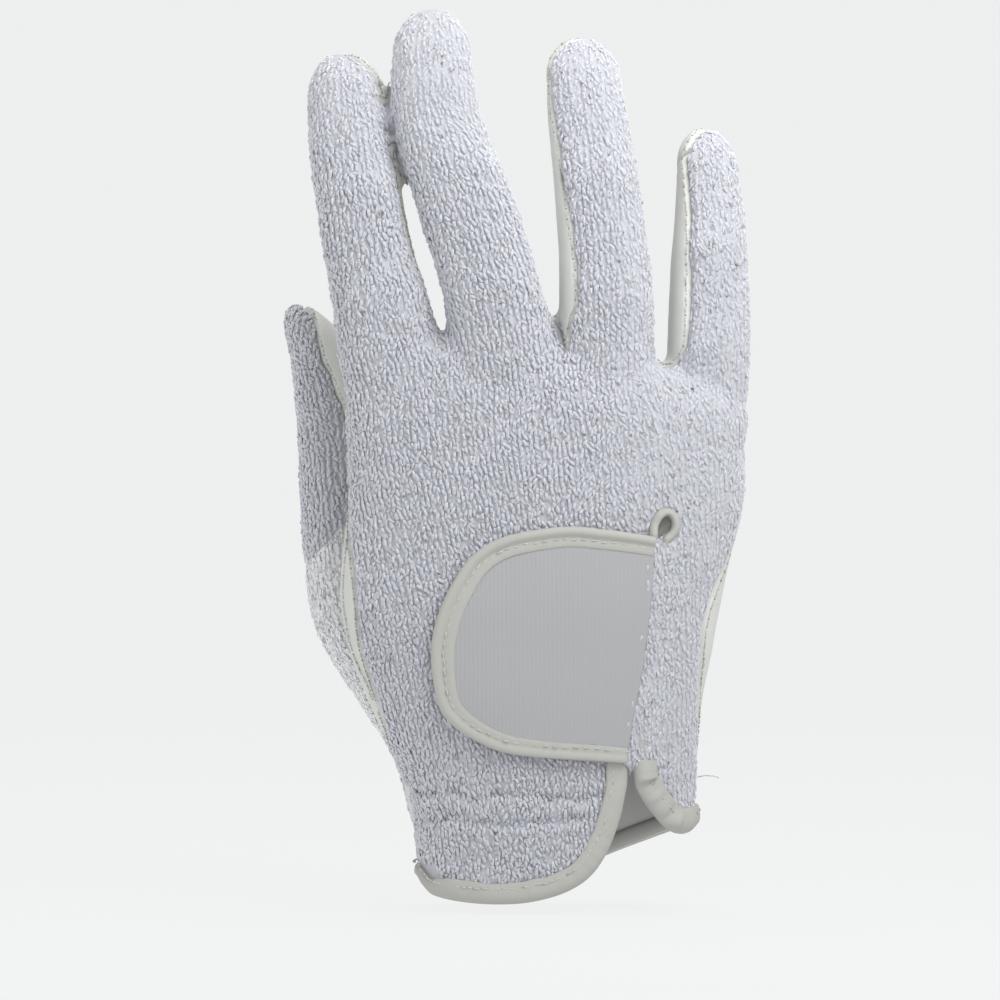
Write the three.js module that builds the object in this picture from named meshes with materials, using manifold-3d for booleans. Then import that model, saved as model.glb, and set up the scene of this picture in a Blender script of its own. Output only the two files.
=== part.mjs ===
// A right-hand racquet glove: looped terry over the back of the hand and thumb, a smooth palm,
// smooth side walls between the fingers, and a strap tab over a bound slit in the wrist.
// Millimetres. X runs across the hand towards the little finger, Y from the back of the hand
// towards the palm, Z from the hem up to the fingertips. The origin is the middle of the wrist
// opening. Every wall is a closed hollow form less a smaller one, cut apart along the seams.
import * as THREE from "three";
import { LoftGeometry } from "three/addons/geometries/LoftGeometry.js";
import { mergeVertices } from "three/addons/utils/BufferGeometryUtils.js";
import Module from "manifold-3d";

const wasm = await Module();
wasm.setup();

// Driving dimensions
const PALM_LENGTH = 132; // hem to the web between index and middle finger
const KNUCKLE_BREADTH = 96;
const KNUCKLE_DEPTH = 32;
const WRIST_BREADTH = 65;
const WRIST_DEPTH = 42;
const INDEX_LENGTH = 66.3; // each finger from its web to its tip
const INDEX_BREADTH = 24.6; // each finger's breadth and depth at its web
const INDEX_DEPTH = 20;
const MIDDLE_LENGTH = 75.7;
const MIDDLE_BREADTH = 25.1;
const MIDDLE_DEPTH = 20.5;
const RING_LENGTH = 69.9;
const RING_BREADTH = 23;
const RING_DEPTH = 19.5;
const LITTLE_LENGTH = 58.7;
const LITTLE_BREADTH = 20.4;
const LITTLE_DEPTH = 18;
const THUMB_LENGTH = 124.6; // from its root inside the palm
const THUMB_BREADTH = 22;
const THUMB_DEPTH = 21;
const TERRY_WALL = 2;
const LEATHER_WALL = 1.2;
const SEAM_GAP = 0.3;
const HEM_BINDING_WIDTH = 4.4;
const SLIT_BINDING_WIDTH = 3;
const BINDING_PROUD = 0.4; // how far a binding stands off the terry, outside and inside
const SLIT_WIDTH = 1.6;
const TAB_BREADTH = 51.5;
const TAB_HEIGHT = 54.6;
const TAB_WALL = 1.6;
const TAB_BINDING_WIDTH = 4.4;
const TAB_BINDING_WALL = 2.4;
const TAB_CLEARANCE = 0.3;
const GATHER_DEPTH = 0.8; // of the two rows of elastic stitched over the wrist
const GATHER_HALF_WIDTH = 1.5;
const GATHER_PUCKERS = 10; // broad puckers in a full turn
const HEM_OVERRUN = 15; // how far the uncut tube runs below the hem

// Fineness of the facets
const PALM_SIDES = 36;
const FINGER_SIDES = 14;
const THUMB_SIDES = 14;
const PALM_POWER = 2.5; // 2 is an ellipse, more is squarer
const FINGER_POWER = 2.3;

// Palm sections. up is a share of the palm length. blend goes from the wrist's breadth and depth
// at 0 to the knuckles' at 1, and the other columns are shares of that breadth or depth.
const PALM_ROWS = [
  { up: 0, blend: 0, left: 0.477, right: 0.508, back: 0.5, front: 0.5 },
  { up: 0.173, blend: 0, left: 0.514, right: 0.523, back: 0.488, front: 0.5 },
  { up: 0.261, blend: 0.15, left: 0.538, right: 0.499, back: 0.5, front: 0.51 },
  { up: 0.351, blend: 0.35, left: 0.547, right: 0.474, back: 0.532, front: 0.532 },
  { up: 0.439, blend: 0.6, left: 0.538, right: 0.458, back: 0.56, front: 0.55 },
  { up: 0.53, blend: 0.8, left: 0.53, right: 0.45, back: 0.588, front: 0.57 },
  { up: 0.617, blend: 0.95, left: 0.512, right: 0.45, back: 0.59, front: 0.55 },
  { up: 0.707, blend: 1, left: 0.497, right: 0.47, back: 0.578, front: 0.516 },
  { up: 0.795, blend: 1, left: 0.499, right: 0.475, back: 0.547, front: 0.44 },
  { up: 0.886, blend: 1, left: 0.502, right: 0.47, back: 0.484, front: 0.375 },
  { up: 0.925, blend: 1, left: 0.48, right: 0.36, back: 0.43, front: 0.32 },
  { up: 0.965, blend: 1, left: 0.45, right: 0.22, back: 0.33, front: 0.235 },
  { up: 1, blend: 1, left: 0.38, right: 0.15, back: 0.17, front: 0.08 },
];
const PALM_RINGS = [0, 0.225, 0.33, 0.43, 0.54, 0.66, 0.78, 0.886, 0.93, 0.97, 1];
const GATHER_RINGS = [0.126, 0.141, 0.156, 0.172, 0.187, 0.202];
const GATHER_ROWS = [0.141, 0.187];

// Fingers. at is the middle of the foot as a share of the knuckle breadth, arch its place in depth
// as a share of the knuckle depth, web the height of its foot as a share of the palm length. In
// the rows, up and shift are shares of the finger's length and wide is a share of its breadth.
// seam_left and seam_right place the terry's edge on each side, as shares of half the depth
// towards the palm.
const FINGERS = [
  {
    name: "index",
    length: INDEX_LENGTH,
    breadth: INDEX_BREADTH,
    depth: INDEX_DEPTH,
    at: -0.4,
    arch: -0.03,
    web: 1,
    seam_left: 0.35,
    seam_right: 0,
    rows: [
      { up: -0.4, shift: 0.05, wide: 0.88 },
      { up: 0, shift: 0, wide: 1 },
      { up: 0.16, shift: -0.03, wide: 0.955 },
      { up: 0.265, shift: -0.06, wide: 0.89 },
      { up: 0.48, shift: -0.101, wide: 0.862 },
      { up: 0.69, shift: -0.133, wide: 0.84 },
      { up: 0.83, shift: -0.151, wide: 0.78 },
      { up: 1, shift: -0.155, wide: 0.74 },
    ],
  },
  {
    name: "middle",
    length: MIDDLE_LENGTH,
    breadth: MIDDLE_BREADTH,
    depth: MIDDLE_DEPTH,
    at: -0.127,
    arch: -0.125,
    web: 1.0076,
    seam_left: 0.1,
    seam_right: 0.1,
    rows: [
      { up: -0.4, shift: 0.02, wide: 0.98 },
      { up: 0, shift: 0, wide: 1 },
      { up: 0.1, shift: -0.022, wide: 0.97 },
      { up: 0.22, shift: -0.053, wide: 0.956 },
      { up: 0.47, shift: -0.132, wide: 0.928 },
      { up: 0.59, shift: -0.173, wide: 0.873 },
      { up: 0.72, shift: -0.206, wide: 0.82 },
      { up: 0.81, shift: -0.211, wide: 0.8 },
      { up: 1, shift: -0.213, wide: 0.74 },
    ],
  },
  {
    name: "ring",
    length: RING_LENGTH,
    breadth: RING_BREADTH,
    depth: RING_DEPTH,
    at: 0.134,
    arch: -0.1,
    web: 1,
    seam_left: -0.72,
    seam_right: 0.1,
    rows: [
      { up: -0.4, shift: 0, wide: 0.98 },
      { up: 0, shift: 0, wide: 1 },
      { up: 0.12, shift: -0.003, wide: 1 },
      { up: 0.25, shift: -0.009, wide: 0.97 },
      { up: 0.52, shift: -0.037, wide: 0.9 },
      { up: 0.79, shift: -0.07, wide: 0.84 },
      { up: 1, shift: -0.088, wide: 0.76 },
    ],
  },
  {
    name: "little",
    length: LITTLE_LENGTH,
    breadth: LITTLE_BREADTH,
    depth: LITTLE_DEPTH,
    at: 0.381,
    arch: 0.06,
    web: 0.924,
    seam_left: -0.75,
    seam_right: 0.35,
    rows: [
      { up: -0.4, shift: -0.06, wide: 0.84 },
      { up: 0, shift: 0, wide: 1 },
      { up: 0.2, shift: 0.007, wide: 0.995 },
      { up: 0.51, shift: 0.01, wide: 0.917 },
      { up: 0.63, shift: 0.012, wide: 0.863 },
      { up: 0.79, shift: 0.005, wide: 0.77 },
      { up: 1, shift: -0.008, wide: 0.66 },
    ],
  },
];
const FINGER_RINGS = [-0.4, 0, 0.22, 0.46, 0.7];

// How a finger bends towards the palm and thins: curl is a share of its length, deep of its depth.
const CURL_ROWS = [
  { up: -0.4, curl: 0, deep: 1.04 },
  { up: 0, curl: 0, deep: 1 },
  { up: 0.3, curl: 0.01, deep: 0.97 },
  { up: 0.55, curl: 0.05, deep: 0.93 },
  { up: 0.8, curl: 0.12, deep: 0.84 },
  { up: 1, curl: 0.19, deep: 0.72 },
];

// The palm edge of a finger's side wall, as a share of half the depth. It closes in on the terry's
// edge at the fingertip.
const SIDE_WALL_ROWS = [
  { up: -0.4, palm: 0.55 },
  { up: 0.5, palm: 0.5 },
  { up: 0.8, palm: 0.35 },
  { up: 1, palm: -1.5 },
];

// Thumb sections. up, shift and back are shares of the thumb's length, measured from the thumb side
// and the palm side of the knuckles. wide and deep are shares of its breadth and depth.
const THUMB_ROWS = [
  { up: 0, shift: 0.233, wide: 1.27, back: -0.056, deep: 1.24 },
  { up: 0.157, shift: 0.196, wide: 1.42, back: -0.02, deep: 1.29 },
  { up: 0.251, shift: 0.124, wide: 1.32, back: 0.008, deep: 1.33 },
  { up: 0.345, shift: 0.058, wide: 1.25, back: 0.028, deep: 1.29 },
  { up: 0.44, shift: 0.018, wide: 1.15, back: 0.04, deep: 1.24 },
  { up: 0.534, shift: 0.001, wide: 1.03, back: 0.05, deep: 1.17 },
  { up: 0.626, shift: -0.01, wide: 0.98, back: 0.062, deep: 1.07 },
  { up: 0.819, shift: -0.032, wide: 0.87, back: 0.092, deep: 0.95 },
  { up: 0.891, shift: -0.051, wide: 0.76, back: 0.104, deep: 0.9 },
  { up: 1, shift: -0.104, wide: 0.5, back: 0.12, deep: 0.7 },
];
const THUMB_RINGS = [0, 0.157, 0.251, 0.345, 0.44, 0.534, 0.64, 0.76, 0.87];
const THUMB_FOOT = 0.114; // height of its root, a share of the palm length
const THUMB_SEAM_BACK = 0.27; // where its seam crosses the back, a share of half the breadth
const THUMB_SEAM_PALM = -0.4;
const WEB_START = 0.88; // where the palm starts to close between the fingers
const SIDE_WALL_FOOT = 0.86; // where the side walls start, both shares of the palm length

// The terry's edge down both sides of the palm, as shares of half the palm's depth.
const SIDE_SEAM_ROWS = [
  { up: 0, thumb_side: 0.1, little_side: 0.1 },
  { up: 0.32, thumb_side: -0.05, little_side: -0.1 },
  { up: 0.44, thumb_side: -0.4, little_side: -0.5 },
  { up: 0.6, thumb_side: -0.45, little_side: -0.2 },
  { up: 0.67, thumb_side: 0, little_side: 0.1 },
  { up: 0.76, thumb_side: 0.3, little_side: 0.3 },
];

// The strap tab's outline, from its lower right corner round the D: shares of its breadth and
// height from its left and lower edges. Its right end follows the slit.
const TAB_OUTLINE = [
  { across: 0.827, up: 0 },
  { across: 0.499, up: 0.022 },
  { across: 0.33, up: 0.044 },
  { across: 0.202, up: 0.095 },
  { across: 0.097, up: 0.165 },
  { across: 0.033, up: 0.255 },
  { across: 0, up: 0.456 },
  { across: 0.033, up: 0.634 },
  { across: 0.128, up: 0.813 },
  { across: 0.219, up: 0.905 },
  { across: 0.353, up: 0.965 },
  { across: 0.594, up: 1 },
  { across: 0.985, up: 0.915 },
];
const TAB_END = [
  { across: 0.955, up: 0.676 },
  { across: 0.918, up: 0.41 },
  { across: 0.874, up: 0.19 },
];
const TAB_LEFT = -0.428; // its left edge, a share of the wrist breadth
const TAB_FOOT = 0.245; // its lower edge, a share of the palm length

// The front hem, from the thumb side round the flap's corner up to the slit: shares of the wrist
// breadth and the palm length.
const FLAP_HEM = [
  { across: -0.477, up: 0.011 },
  { across: -0.426, up: 0.008 },
  { across: -0.308, up: -0.001 },
  { across: -0.185, up: -0.003 },
  { across: -0.072, up: 0.002 },
  { across: 0.043, up: 0.018 },
  { across: 0.131, up: 0.045 },
  { across: 0.192, up: 0.087 },
  { across: 0.238, up: 0.144 },
  { across: 0.266, up: 0.205 },
];
const SLIT_LINE = [
  { across: 0.282, up: 0.235 },
  { across: 0.289, up: 0.318 },
  { across: 0.317, up: 0.415 },
  { across: 0.345, up: 0.525 },
  { across: 0.363, up: 0.598 },
  { across: 0.394, up: 0.661 },
];
const OUTER_HEM = [
  { across: 0.3, up: 0.205 },
  { across: 0.343, up: 0.171 },
  { across: 0.42, up: 0.129 },
  { across: 0.477, up: 0.117 },
  { across: 0.523, up: 0.128 },
];
// The hem on the palm side, from the thumb side to the little finger's.
const PALM_HEM = [
  { across: -0.477, up: 0.011 },
  { across: -0.3, up: 0.006 },
  { across: 0, up: 0.03 },
  { across: 0.3, up: 0.085 },
  { across: 0.523, up: 0.128 },
];
const SLIT_FOOT = 0.25; // where the hem's binding passes into the slit's, a share of the palm length

const FAR = 2 * KNUCKLE_BREADTH; // beyond the glove on every side
const TOP = 2 * PALM_LENGTH;

// A table's column as a smooth function of its up column.
function column(rows, key) {
  const ups = rows.map((row) => row.up);
  const values = rows.map((row) => row[key]);
  const curve = new THREE.CubicInterpolant(ups, values, 1, [0]);
  return (up) => curve.evaluate(up)[0];
}

// A closed geometry as a solid that can be joined and cut.
function solid(geometry) {
  const bare = new THREE.BufferGeometry();
  bare.setAttribute("position", geometry.getAttribute("position"));
  bare.setIndex(geometry.index);
  const merged = mergeVertices(bare, 1e-4);
  const vertProperties = merged.attributes.position.array;
  const triVerts = new Uint32Array(merged.index.array);
  return new wasm.Manifold(new wasm.Mesh({ numProp: 3, vertProperties, triVerts }));
}

// One level ring of a hollow form: a rounded box of the given power. inset draws points in.
function ring({ x, y, z, halfX, halfY }, sides, power, inset = () => 0) {
  const points = [];
  for (let i = 0; i < sides; i++) {
    const angle = (2 * Math.PI * i) / sides;
    const cos = Math.cos(angle);
    const sin = Math.sin(angle);
    const drawn = inset(angle);
    const across = (halfX - drawn) * Math.sign(cos) * Math.abs(cos) ** (2 / power);
    const deep = (halfY - drawn) * Math.sign(sin) * Math.abs(sin) ** (2 / power);
    points.push(new THREE.Vector3(x + across, y + deep, z));
  }
  return points;
}

function loft(sections) {
  return solid(new LoftGeometry(sections, { closed: true, capStart: true, capEnd: true }));
}

const palmBlend = column(PALM_ROWS, "blend");
const palmLeft = column(PALM_ROWS, "left");
const palmRight = column(PALM_ROWS, "right");
const palmBack = column(PALM_ROWS, "back");
const palmFront = column(PALM_ROWS, "front");

// The palm's box at a share of its length, grown by proud on every side.
function palmSection(up, proud = 0) {
  const blend = THREE.MathUtils.clamp(palmBlend(up), 0, 1);
  const breadth = THREE.MathUtils.lerp(WRIST_BREADTH, KNUCKLE_BREADTH, blend);
  const depth = THREE.MathUtils.lerp(WRIST_DEPTH, KNUCKLE_DEPTH, blend);
  const left = -palmLeft(up) * breadth;
  const right = palmRight(up) * breadth;
  const back = -palmBack(up) * depth;
  const front = palmFront(up) * depth;
  return {
    x: (left + right) / 2,
    y: (back + front) / 2,
    z: up * PALM_LENGTH,
    halfX: (right - left) / 2 + proud,
    halfY: (front - back) / 2 + proud,
  };
}

// How far the elastic draws the wrist in, at a height and an angle round the section.
function gather(up) {
  return (angle) => {
    const overBack = Math.max(0, -Math.sin(angle));
    const ripple = 0.65 + 0.35 * Math.cos(GATHER_PUCKERS * angle);
    const pinch = GATHER_ROWS.reduce((sum, row) => {
      const away = ((up - row) * PALM_LENGTH) / GATHER_HALF_WIDTH;
      return sum + Math.exp(-away * away);
    }, 0);
    return GATHER_DEPTH * pinch * ripple * Math.sqrt(overBack);
  };
}

// The palm and wrist as a closed form, grown by proud or, where it is negative, drawn in.
function palmForm(proud, gathered = false) {
  const foot = palmSection(0, proud);
  const sections = [ring({ ...foot, z: -HEM_OVERRUN }, PALM_SIDES, PALM_POWER)];
  const ups = gathered ? [...PALM_RINGS, ...GATHER_RINGS].sort((a, b) => a - b) : PALM_RINGS;
  for (const up of ups) {
    const section = palmSection(up, proud);
    section.z += proud * THREE.MathUtils.smoothstep(up, WEB_START, 1);
    sections.push(ring(section, PALM_SIDES, PALM_POWER, gathered ? gather(up) : undefined));
  }
  return loft(sections);
}

// The share of its full width that a rounded tip keeps at a share of the length.
function dome(up, length, radius) {
  const start = 1 - radius / length;
  const past = (up - start) / (1 - start);
  return past > 0 ? Math.sqrt(Math.max(0, 1 - past * past)) : 1;
}

// Heights of the rings of a rounded tip, closing in on its top.
function tipRings(length, radius) {
  return [0, 0.4, 0.7, 0.9, 0.985].map((share) => 1 - (radius / length) * (1 - share));
}

const curl = column(CURL_ROWS, "curl");
const deep = column(CURL_ROWS, "deep");

// A finger's box at a share of its length.
function fingerSection(finger, up, proud = 0) {
  const length = finger.length + proud;
  const radius = finger.breadth * 0.42 + proud;
  const round = dome(up, length, radius);
  const breadth = finger.breadth * finger.wide(up);
  return {
    x: finger.at * KNUCKLE_BREADTH + finger.shift(up) * finger.length,
    y: finger.arch * KNUCKLE_DEPTH + curl(up) * finger.length,
    z: finger.web * PALM_LENGTH + up * length,
    halfX: (breadth / 2 + proud) * round,
    halfY: ((finger.depth * deep(up)) / 2 + proud) * round,
  };
}

function fingerForm(finger, proud) {
  const tip = tipRings(finger.length + proud, finger.breadth * 0.42 + proud);
  const ups = [...FINGER_RINGS.filter((up) => up < tip[0] - 0.05), ...tip];
  const sections = ups.map((up) => fingerSection(finger, up, proud));
  return loft(sections.map((section) => ring(section, FINGER_SIDES, FINGER_POWER)));
}

for (const finger of FINGERS) {
  finger.wide = column(finger.rows, "wide");
  finger.shift = column(finger.rows, "shift");
}

const thumbShift = column(THUMB_ROWS, "shift");
const thumbWide = column(THUMB_ROWS, "wide");
const thumbBack = column(THUMB_ROWS, "back");
const thumbDeep = column(THUMB_ROWS, "deep");

function thumbSection(up, proud = 0) {
  const length = THUMB_LENGTH + proud;
  const round = dome(up, length, THUMB_BREADTH * 0.4 + proud);
  return {
    x: -KNUCKLE_BREADTH / 2 + thumbShift(up) * THUMB_LENGTH,
    y: KNUCKLE_DEPTH / 2 + thumbBack(up) * THUMB_LENGTH,
    z: THUMB_FOOT * PALM_LENGTH + up * length,
    halfX: ((THUMB_BREADTH * thumbWide(up)) / 2 + proud) * round,
    halfY: ((THUMB_DEPTH * thumbDeep(up)) / 2 + proud) * round,
  };
}

function thumbForm(proud) {
  const tip = tipRings(THUMB_LENGTH + proud, THUMB_BREADTH * 0.4 + proud);
  const ups = [...THUMB_RINGS.filter((up) => up < tip[0] - 0.02), ...tip];
  const sections = ups.map((up) => thumbSection(up, proud));
  return loft(sections.map((section) => ring(section, THUMB_SIDES, FINGER_POWER)));
}

// The palm with the fingers, at one level below or above the terry's face.
function handForm(proud, gathered = false) {
  return FINGERS.reduce((form, finger) => form.add(fingerForm(finger, proud)),
    palmForm(proud, gathered));
}

// Points of a table in the plan that the back of the hand shows, X across and Z up.
function planPoints(rows, breadth, height) {
  return rows.map(({ across, up }) => new THREE.Vector2(across * breadth, up * height));
}

function smoothLine(points, pieces) {
  return new THREE.SplineCurve(points).getPoints(pieces);
}

// A closed outline moved outwards by distance, or inwards where it is negative.
function grown(outline, distance) {
  const outward = THREE.ShapeUtils.area(outline) > 0 ? 1 : -1;
  return outline.map((point, i) => {
    const before = outline[(i + outline.length - 1) % outline.length];
    const after = outline[(i + 1) % outline.length];
    const arriving = point.clone().sub(before).normalize();
    const leaving = after.clone().sub(point).normalize();
    const along = arriving.clone().add(leaving).normalize();
    const mitre = Math.max(0.6, along.dot(leaving));
    const normal = new THREE.Vector2(along.y, -along.x);
    return point.clone().addScaledVector(normal, (outward * distance) / mitre);
  });
}

// An outline in X and Z, made a solid from yFrom to yTo.
function prism(outline, yFrom, yTo) {
  const shape = new THREE.Shape(outline);
  const geometry = new THREE.ExtrudeGeometry(shape, { depth: yTo - yFrom, bevelEnabled: false });
  geometry.rotateX(Math.PI / 2);
  geometry.translate(0, yTo, 0);
  return solid(geometry);
}

function slab(zFrom, zTo) {
  const height = zTo - zFrom;
  const box = new THREE.BoxGeometry(2 * FAR, 2 * FAR, height);
  return solid(box.translate(0, 0, zFrom + height / 2));
}

// What the hem and the slit leave open, seen from the back of the hand.
function frontOpening() {
  const flap = smoothLine(planPoints(FLAP_HEM, WRIST_BREADTH, PALM_LENGTH), 12);
  const slit = smoothLine(planPoints(SLIT_LINE, WRIST_BREADTH, PALM_LENGTH), 6);
  const outer = smoothLine(planPoints(OUTER_HEM, WRIST_BREADTH, PALM_LENGTH), 5);
  const half = new THREE.Vector2(SLIT_WIDTH / 2, 0);
  return [
    new THREE.Vector2(-FAR, flap[0].y),
    ...flap,
    ...slit.map((point) => point.clone().sub(half)),
    ...slit.map((point) => point.clone().add(half)).reverse(),
    ...outer,
    new THREE.Vector2(FAR, outer.at(-1).y),
    new THREE.Vector2(FAR, -FAR),
    new THREE.Vector2(-FAR, -FAR),
  ];
}

function palmOpening() {
  const hem = smoothLine(planPoints(PALM_HEM, WRIST_BREADTH, PALM_LENGTH), 5);
  return [
    new THREE.Vector2(-FAR, hem[0].y),
    ...hem,
    new THREE.Vector2(FAR, hem.at(-1).y),
    new THREE.Vector2(FAR, -FAR),
    new THREE.Vector2(-FAR, -FAR),
  ];
}

// The opening widened by the width of the bindings and a clearance.
function wristCut(hemWidth, slitWidth, clearance) {
  const foot = SLIT_FOOT * PALM_LENGTH;
  const hem = prism(grown(frontOpening(), hemWidth + clearance), -FAR, 0);
  const slit = prism(grown(frontOpening(), slitWidth + clearance), -FAR, 0);
  const palm = prism(grown(palmOpening(), hemWidth + clearance), 0, FAR);
  const below = hem.intersect(slab(-FAR, foot + clearance / 2));
  const above = slit.intersect(slab(foot - clearance / 2, TOP));
  return below.add(above).add(palm);
}

// Heights at which the seams' sheets are worked out.
const SHEET_HEIGHTS = [
  ...[-0.3, 0.2, 0.32, 0.44, 0.6, 0.67, 0.76].map((up) => up * PALM_LENGTH),
  SIDE_WALL_FOOT * PALM_LENGTH - 1,
  ...[0.86, 0.96, 1.07, 1.18, 1.28, 1.36, 1.42, 1.5, 1.57, 2].map((up) => up * PALM_LENGTH),
];

// Everything on the palm side of a sheet across the whole hand. knotsAt gives the sheet's [x, y]
// knots at a height.
function palmSideOf(knotsAt) {
  const sections = [];
  for (const z of SHEET_HEIGHTS) {
    const knots = knotsAt(z);
    const line = knots.map(([x, y]) => new THREE.Vector3(x, y, z));
    const corners = [line.at(-1), line[0]].map(({ x }) => new THREE.Vector3(x, FAR, z));
    sections.push([...line, ...corners]);
  }
  return loft(sections);
}

const thumbSideSeam = column(SIDE_SEAM_ROWS, "thumb_side");
const littleSideSeam = column(SIDE_SEAM_ROWS, "little_side");
const sideWall = column(SIDE_WALL_ROWS, "palm");

// The depth of the seam at the outer side of the hand, which passes from the palm to the finger.
function outerSeam(finger, palmShare, fingerShare, z) {
  const up = THREE.MathUtils.clamp(z / PALM_LENGTH, 0, 1);
  const palm = palmSection(Math.min(up, 0.886));
  const atFinger = fingerAt(finger, z);
  const share = THREE.MathUtils.smoothstep(up, 0.76, 0.92);
  const onPalm = palm.y + palmShare(up) * palm.halfY;
  const onFinger = atFinger.y + fingerShare * atFinger.halfY;
  return THREE.MathUtils.lerp(onPalm, onFinger, share);
}

// A finger's undomed box at a height.
function fingerAt(finger, z) {
  const up = THREE.MathUtils.clamp((z - finger.web * PALM_LENGTH) / finger.length, -0.4, 1);
  return {
    up,
    x: finger.at * KNUCKLE_BREADTH + finger.shift(up) * finger.length,
    y: finger.arch * KNUCKLE_DEPTH + curl(up) * finger.length,
    halfX: (finger.breadth * finger.wide(up)) / 2,
    halfY: (finger.depth * deep(up)) / 2,
  };
}

// Knots of the sheet along the terry's edge.
function terryKnots(z) {
  const first = FINGERS[0];
  const last = FINGERS.at(-1);
  const knots = [[-FAR, outerSeam(first, thumbSideSeam, first.seam_left, z)]];
  for (const finger of FINGERS) {
    const at = fingerAt(finger, z);
    const left = at.y + finger.seam_left * at.halfY;
    const right = at.y + finger.seam_right * at.halfY;
    const leftDepth = finger === first ? knots[0][1] : left;
    const rightDepth = finger === last ? outerSeam(last, littleSideSeam, last.seam_right, z) : right;
    knots.push([at.x - 0.9 * at.halfX, leftDepth]);
    knots.push([at.x - 0.35 * at.halfX, leftDepth]);
    knots.push([at.x + 0.35 * at.halfX, rightDepth]);
    knots.push([at.x + 0.9 * at.halfX, rightDepth]);
  }
  knots.push([FAR, knots.at(-1)[1]]);
  return knots;
}

function shifted(knotsAt, distance) {
  return (z) => knotsAt(z).map(([x, y]) => [x, y + distance]);
}

// Knots of the sheet along the palm edge of the side walls. It lies far in front below them and
// on the outer sides, where the palm meets the terry with no side wall between.
function palmKnots(z) {
  const none = -FAR / 2;
  const knots = [[-FAR, none]];
  for (const finger of FINGERS) {
    const at = fingerAt(finger, z);
    const below = z < SIDE_WALL_FOOT * PALM_LENGTH;
    const edge = below ? none : at.y + sideWall(at.up) * at.halfY;
    const left = finger === FINGERS[0] ? none : edge;
    const right = finger === FINGERS.at(-1) ? none : edge;
    knots.push([at.x - 0.9 * at.halfX, left]);
    knots.push([at.x - 0.05 * at.halfX, left]);
    knots.push([at.x + 0.05 * at.halfX, right]);
    knots.push([at.x + 0.9 * at.halfX, right]);
  }
  knots.push([FAR, none]);
  return knots;
}

// The space between the middles of two neighbouring fingers.
function between(one, other) {
  const sections = [];
  for (const z of SHEET_HEIGHTS.filter((height) => height >= SIDE_WALL_FOOT * PALM_LENGTH)) {
    const left = fingerAt(one, z).x;
    const right = fingerAt(other, z).x;
    const corners = [[left, -FAR], [right, -FAR], [right, FAR], [left, FAR]];
    sections.push(corners.map(([x, y]) => new THREE.Vector3(x, y, z)));
  }
  return loft(sections);
}

// The side of the thumb that its smooth piece takes, moved away from the terry by clearance.
function thumbZone(clearance) {
  const sections = THUMB_RINGS.concat(1.1).map((up) => {
    const { x, y, halfX, halfY } = thumbSection(Math.min(up, 0.9));
    const z = THUMB_FOOT * PALM_LENGTH + (up === 0 ? -0.2 : up) * THUMB_LENGTH;
    const middle = ((THUMB_SEAM_BACK + THUMB_SEAM_PALM) / 2) * halfX + clearance;
    const slope = ((THUMB_SEAM_PALM - THUMB_SEAM_BACK) / 2) * halfX;
    const reach = 4;
    return [
      new THREE.Vector3(x + middle - reach * slope, y - reach * halfY, z),
      new THREE.Vector3(x + FAR, y - reach * halfY, z),
      new THREE.Vector3(x + FAR, y + reach * halfY, z),
      new THREE.Vector3(x + middle + reach * slope, y + reach * halfY, z),
    ];
  });
  return loft(sections);
}

// The terry's face, the leather's face a little below it, and the one hollow inside both.
const hollow = handForm(-TERRY_WALL).add(thumbForm(-TERRY_WALL));
const leatherFace = LEATHER_WALL - TERRY_WALL;
const opened = wristCut(HEM_BINDING_WIDTH, SLIT_BINDING_WIDTH, SEAM_GAP);
const terryShell = handForm(0, true).subtract(hollow).subtract(opened);
const leatherShell = handForm(leatherFace).subtract(hollow).subtract(opened);

const behindTerry = palmSideOf(shifted(terryKnots, SEAM_GAP));

function backPanel() {
  return terryShell.subtract(palmSideOf(terryKnots));
}

function palmPanel() {
  return leatherShell.intersect(behindTerry).intersect(palmSideOf(palmKnots));
}

function fourchette(one, other) {
  const strip = behindTerry.intersect(between(one, other));
  return leatherShell.intersect(strip).subtract(palmSideOf(shifted(palmKnots, -SEAM_GAP)));
}

// The thumb ends against the palm's leather and, beyond its seam, against the terry.
function thumbPiece(face, side) {
  const overTerry = palmForm(SEAM_GAP).subtract(behindTerry);
  const palm = palmForm(leatherFace + SEAM_GAP).add(overTerry);
  return thumbForm(face).subtract(hollow).subtract(palm).intersect(side);
}

function thumbBackPiece() {
  const everywhere = slab(-FAR, TOP);
  return thumbPiece(0, everywhere.subtract(thumbZone(0)));
}

function thumbFrontPiece() {
  return thumbPiece(leatherFace, thumbZone(SEAM_GAP));
}

// The binding laps the wall's edge inside and outside.
function bindingLayer() {
  return handForm(BINDING_PROUD, true).subtract(handForm(-TERRY_WALL - BINDING_PROUD));
}

function hemBinding() {
  const foot = SLIT_FOOT * PALM_LENGTH;
  const cut = wristCut(HEM_BINDING_WIDTH, 0, 0).subtract(wristCut(0, 0, 0));
  return bindingLayer().intersect(cut).intersect(slab(-FAR, foot - SEAM_GAP));
}

function slitBinding() {
  const foot = SLIT_FOOT * PALM_LENGTH;
  const cut = wristCut(0, SLIT_BINDING_WIDTH, 0).subtract(wristCut(0, 0, 0));
  return bindingLayer().intersect(cut).intersect(slab(foot, PALM_LENGTH));
}

// The tab's round edge and its end at the slit, in the plan.
const tabCorner = new THREE.Vector2(TAB_LEFT * WRIST_BREADTH, TAB_FOOT * PALM_LENGTH);
const onTab = (rows) => {
  return planPoints(rows, TAB_BREADTH, TAB_HEIGHT).map((point) => point.add(tabCorner));
};
const tabRound = smoothLine(onTab(TAB_OUTLINE), 18);
const tabOutline = [...tabRound, ...onTab(TAB_END)];

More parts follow.
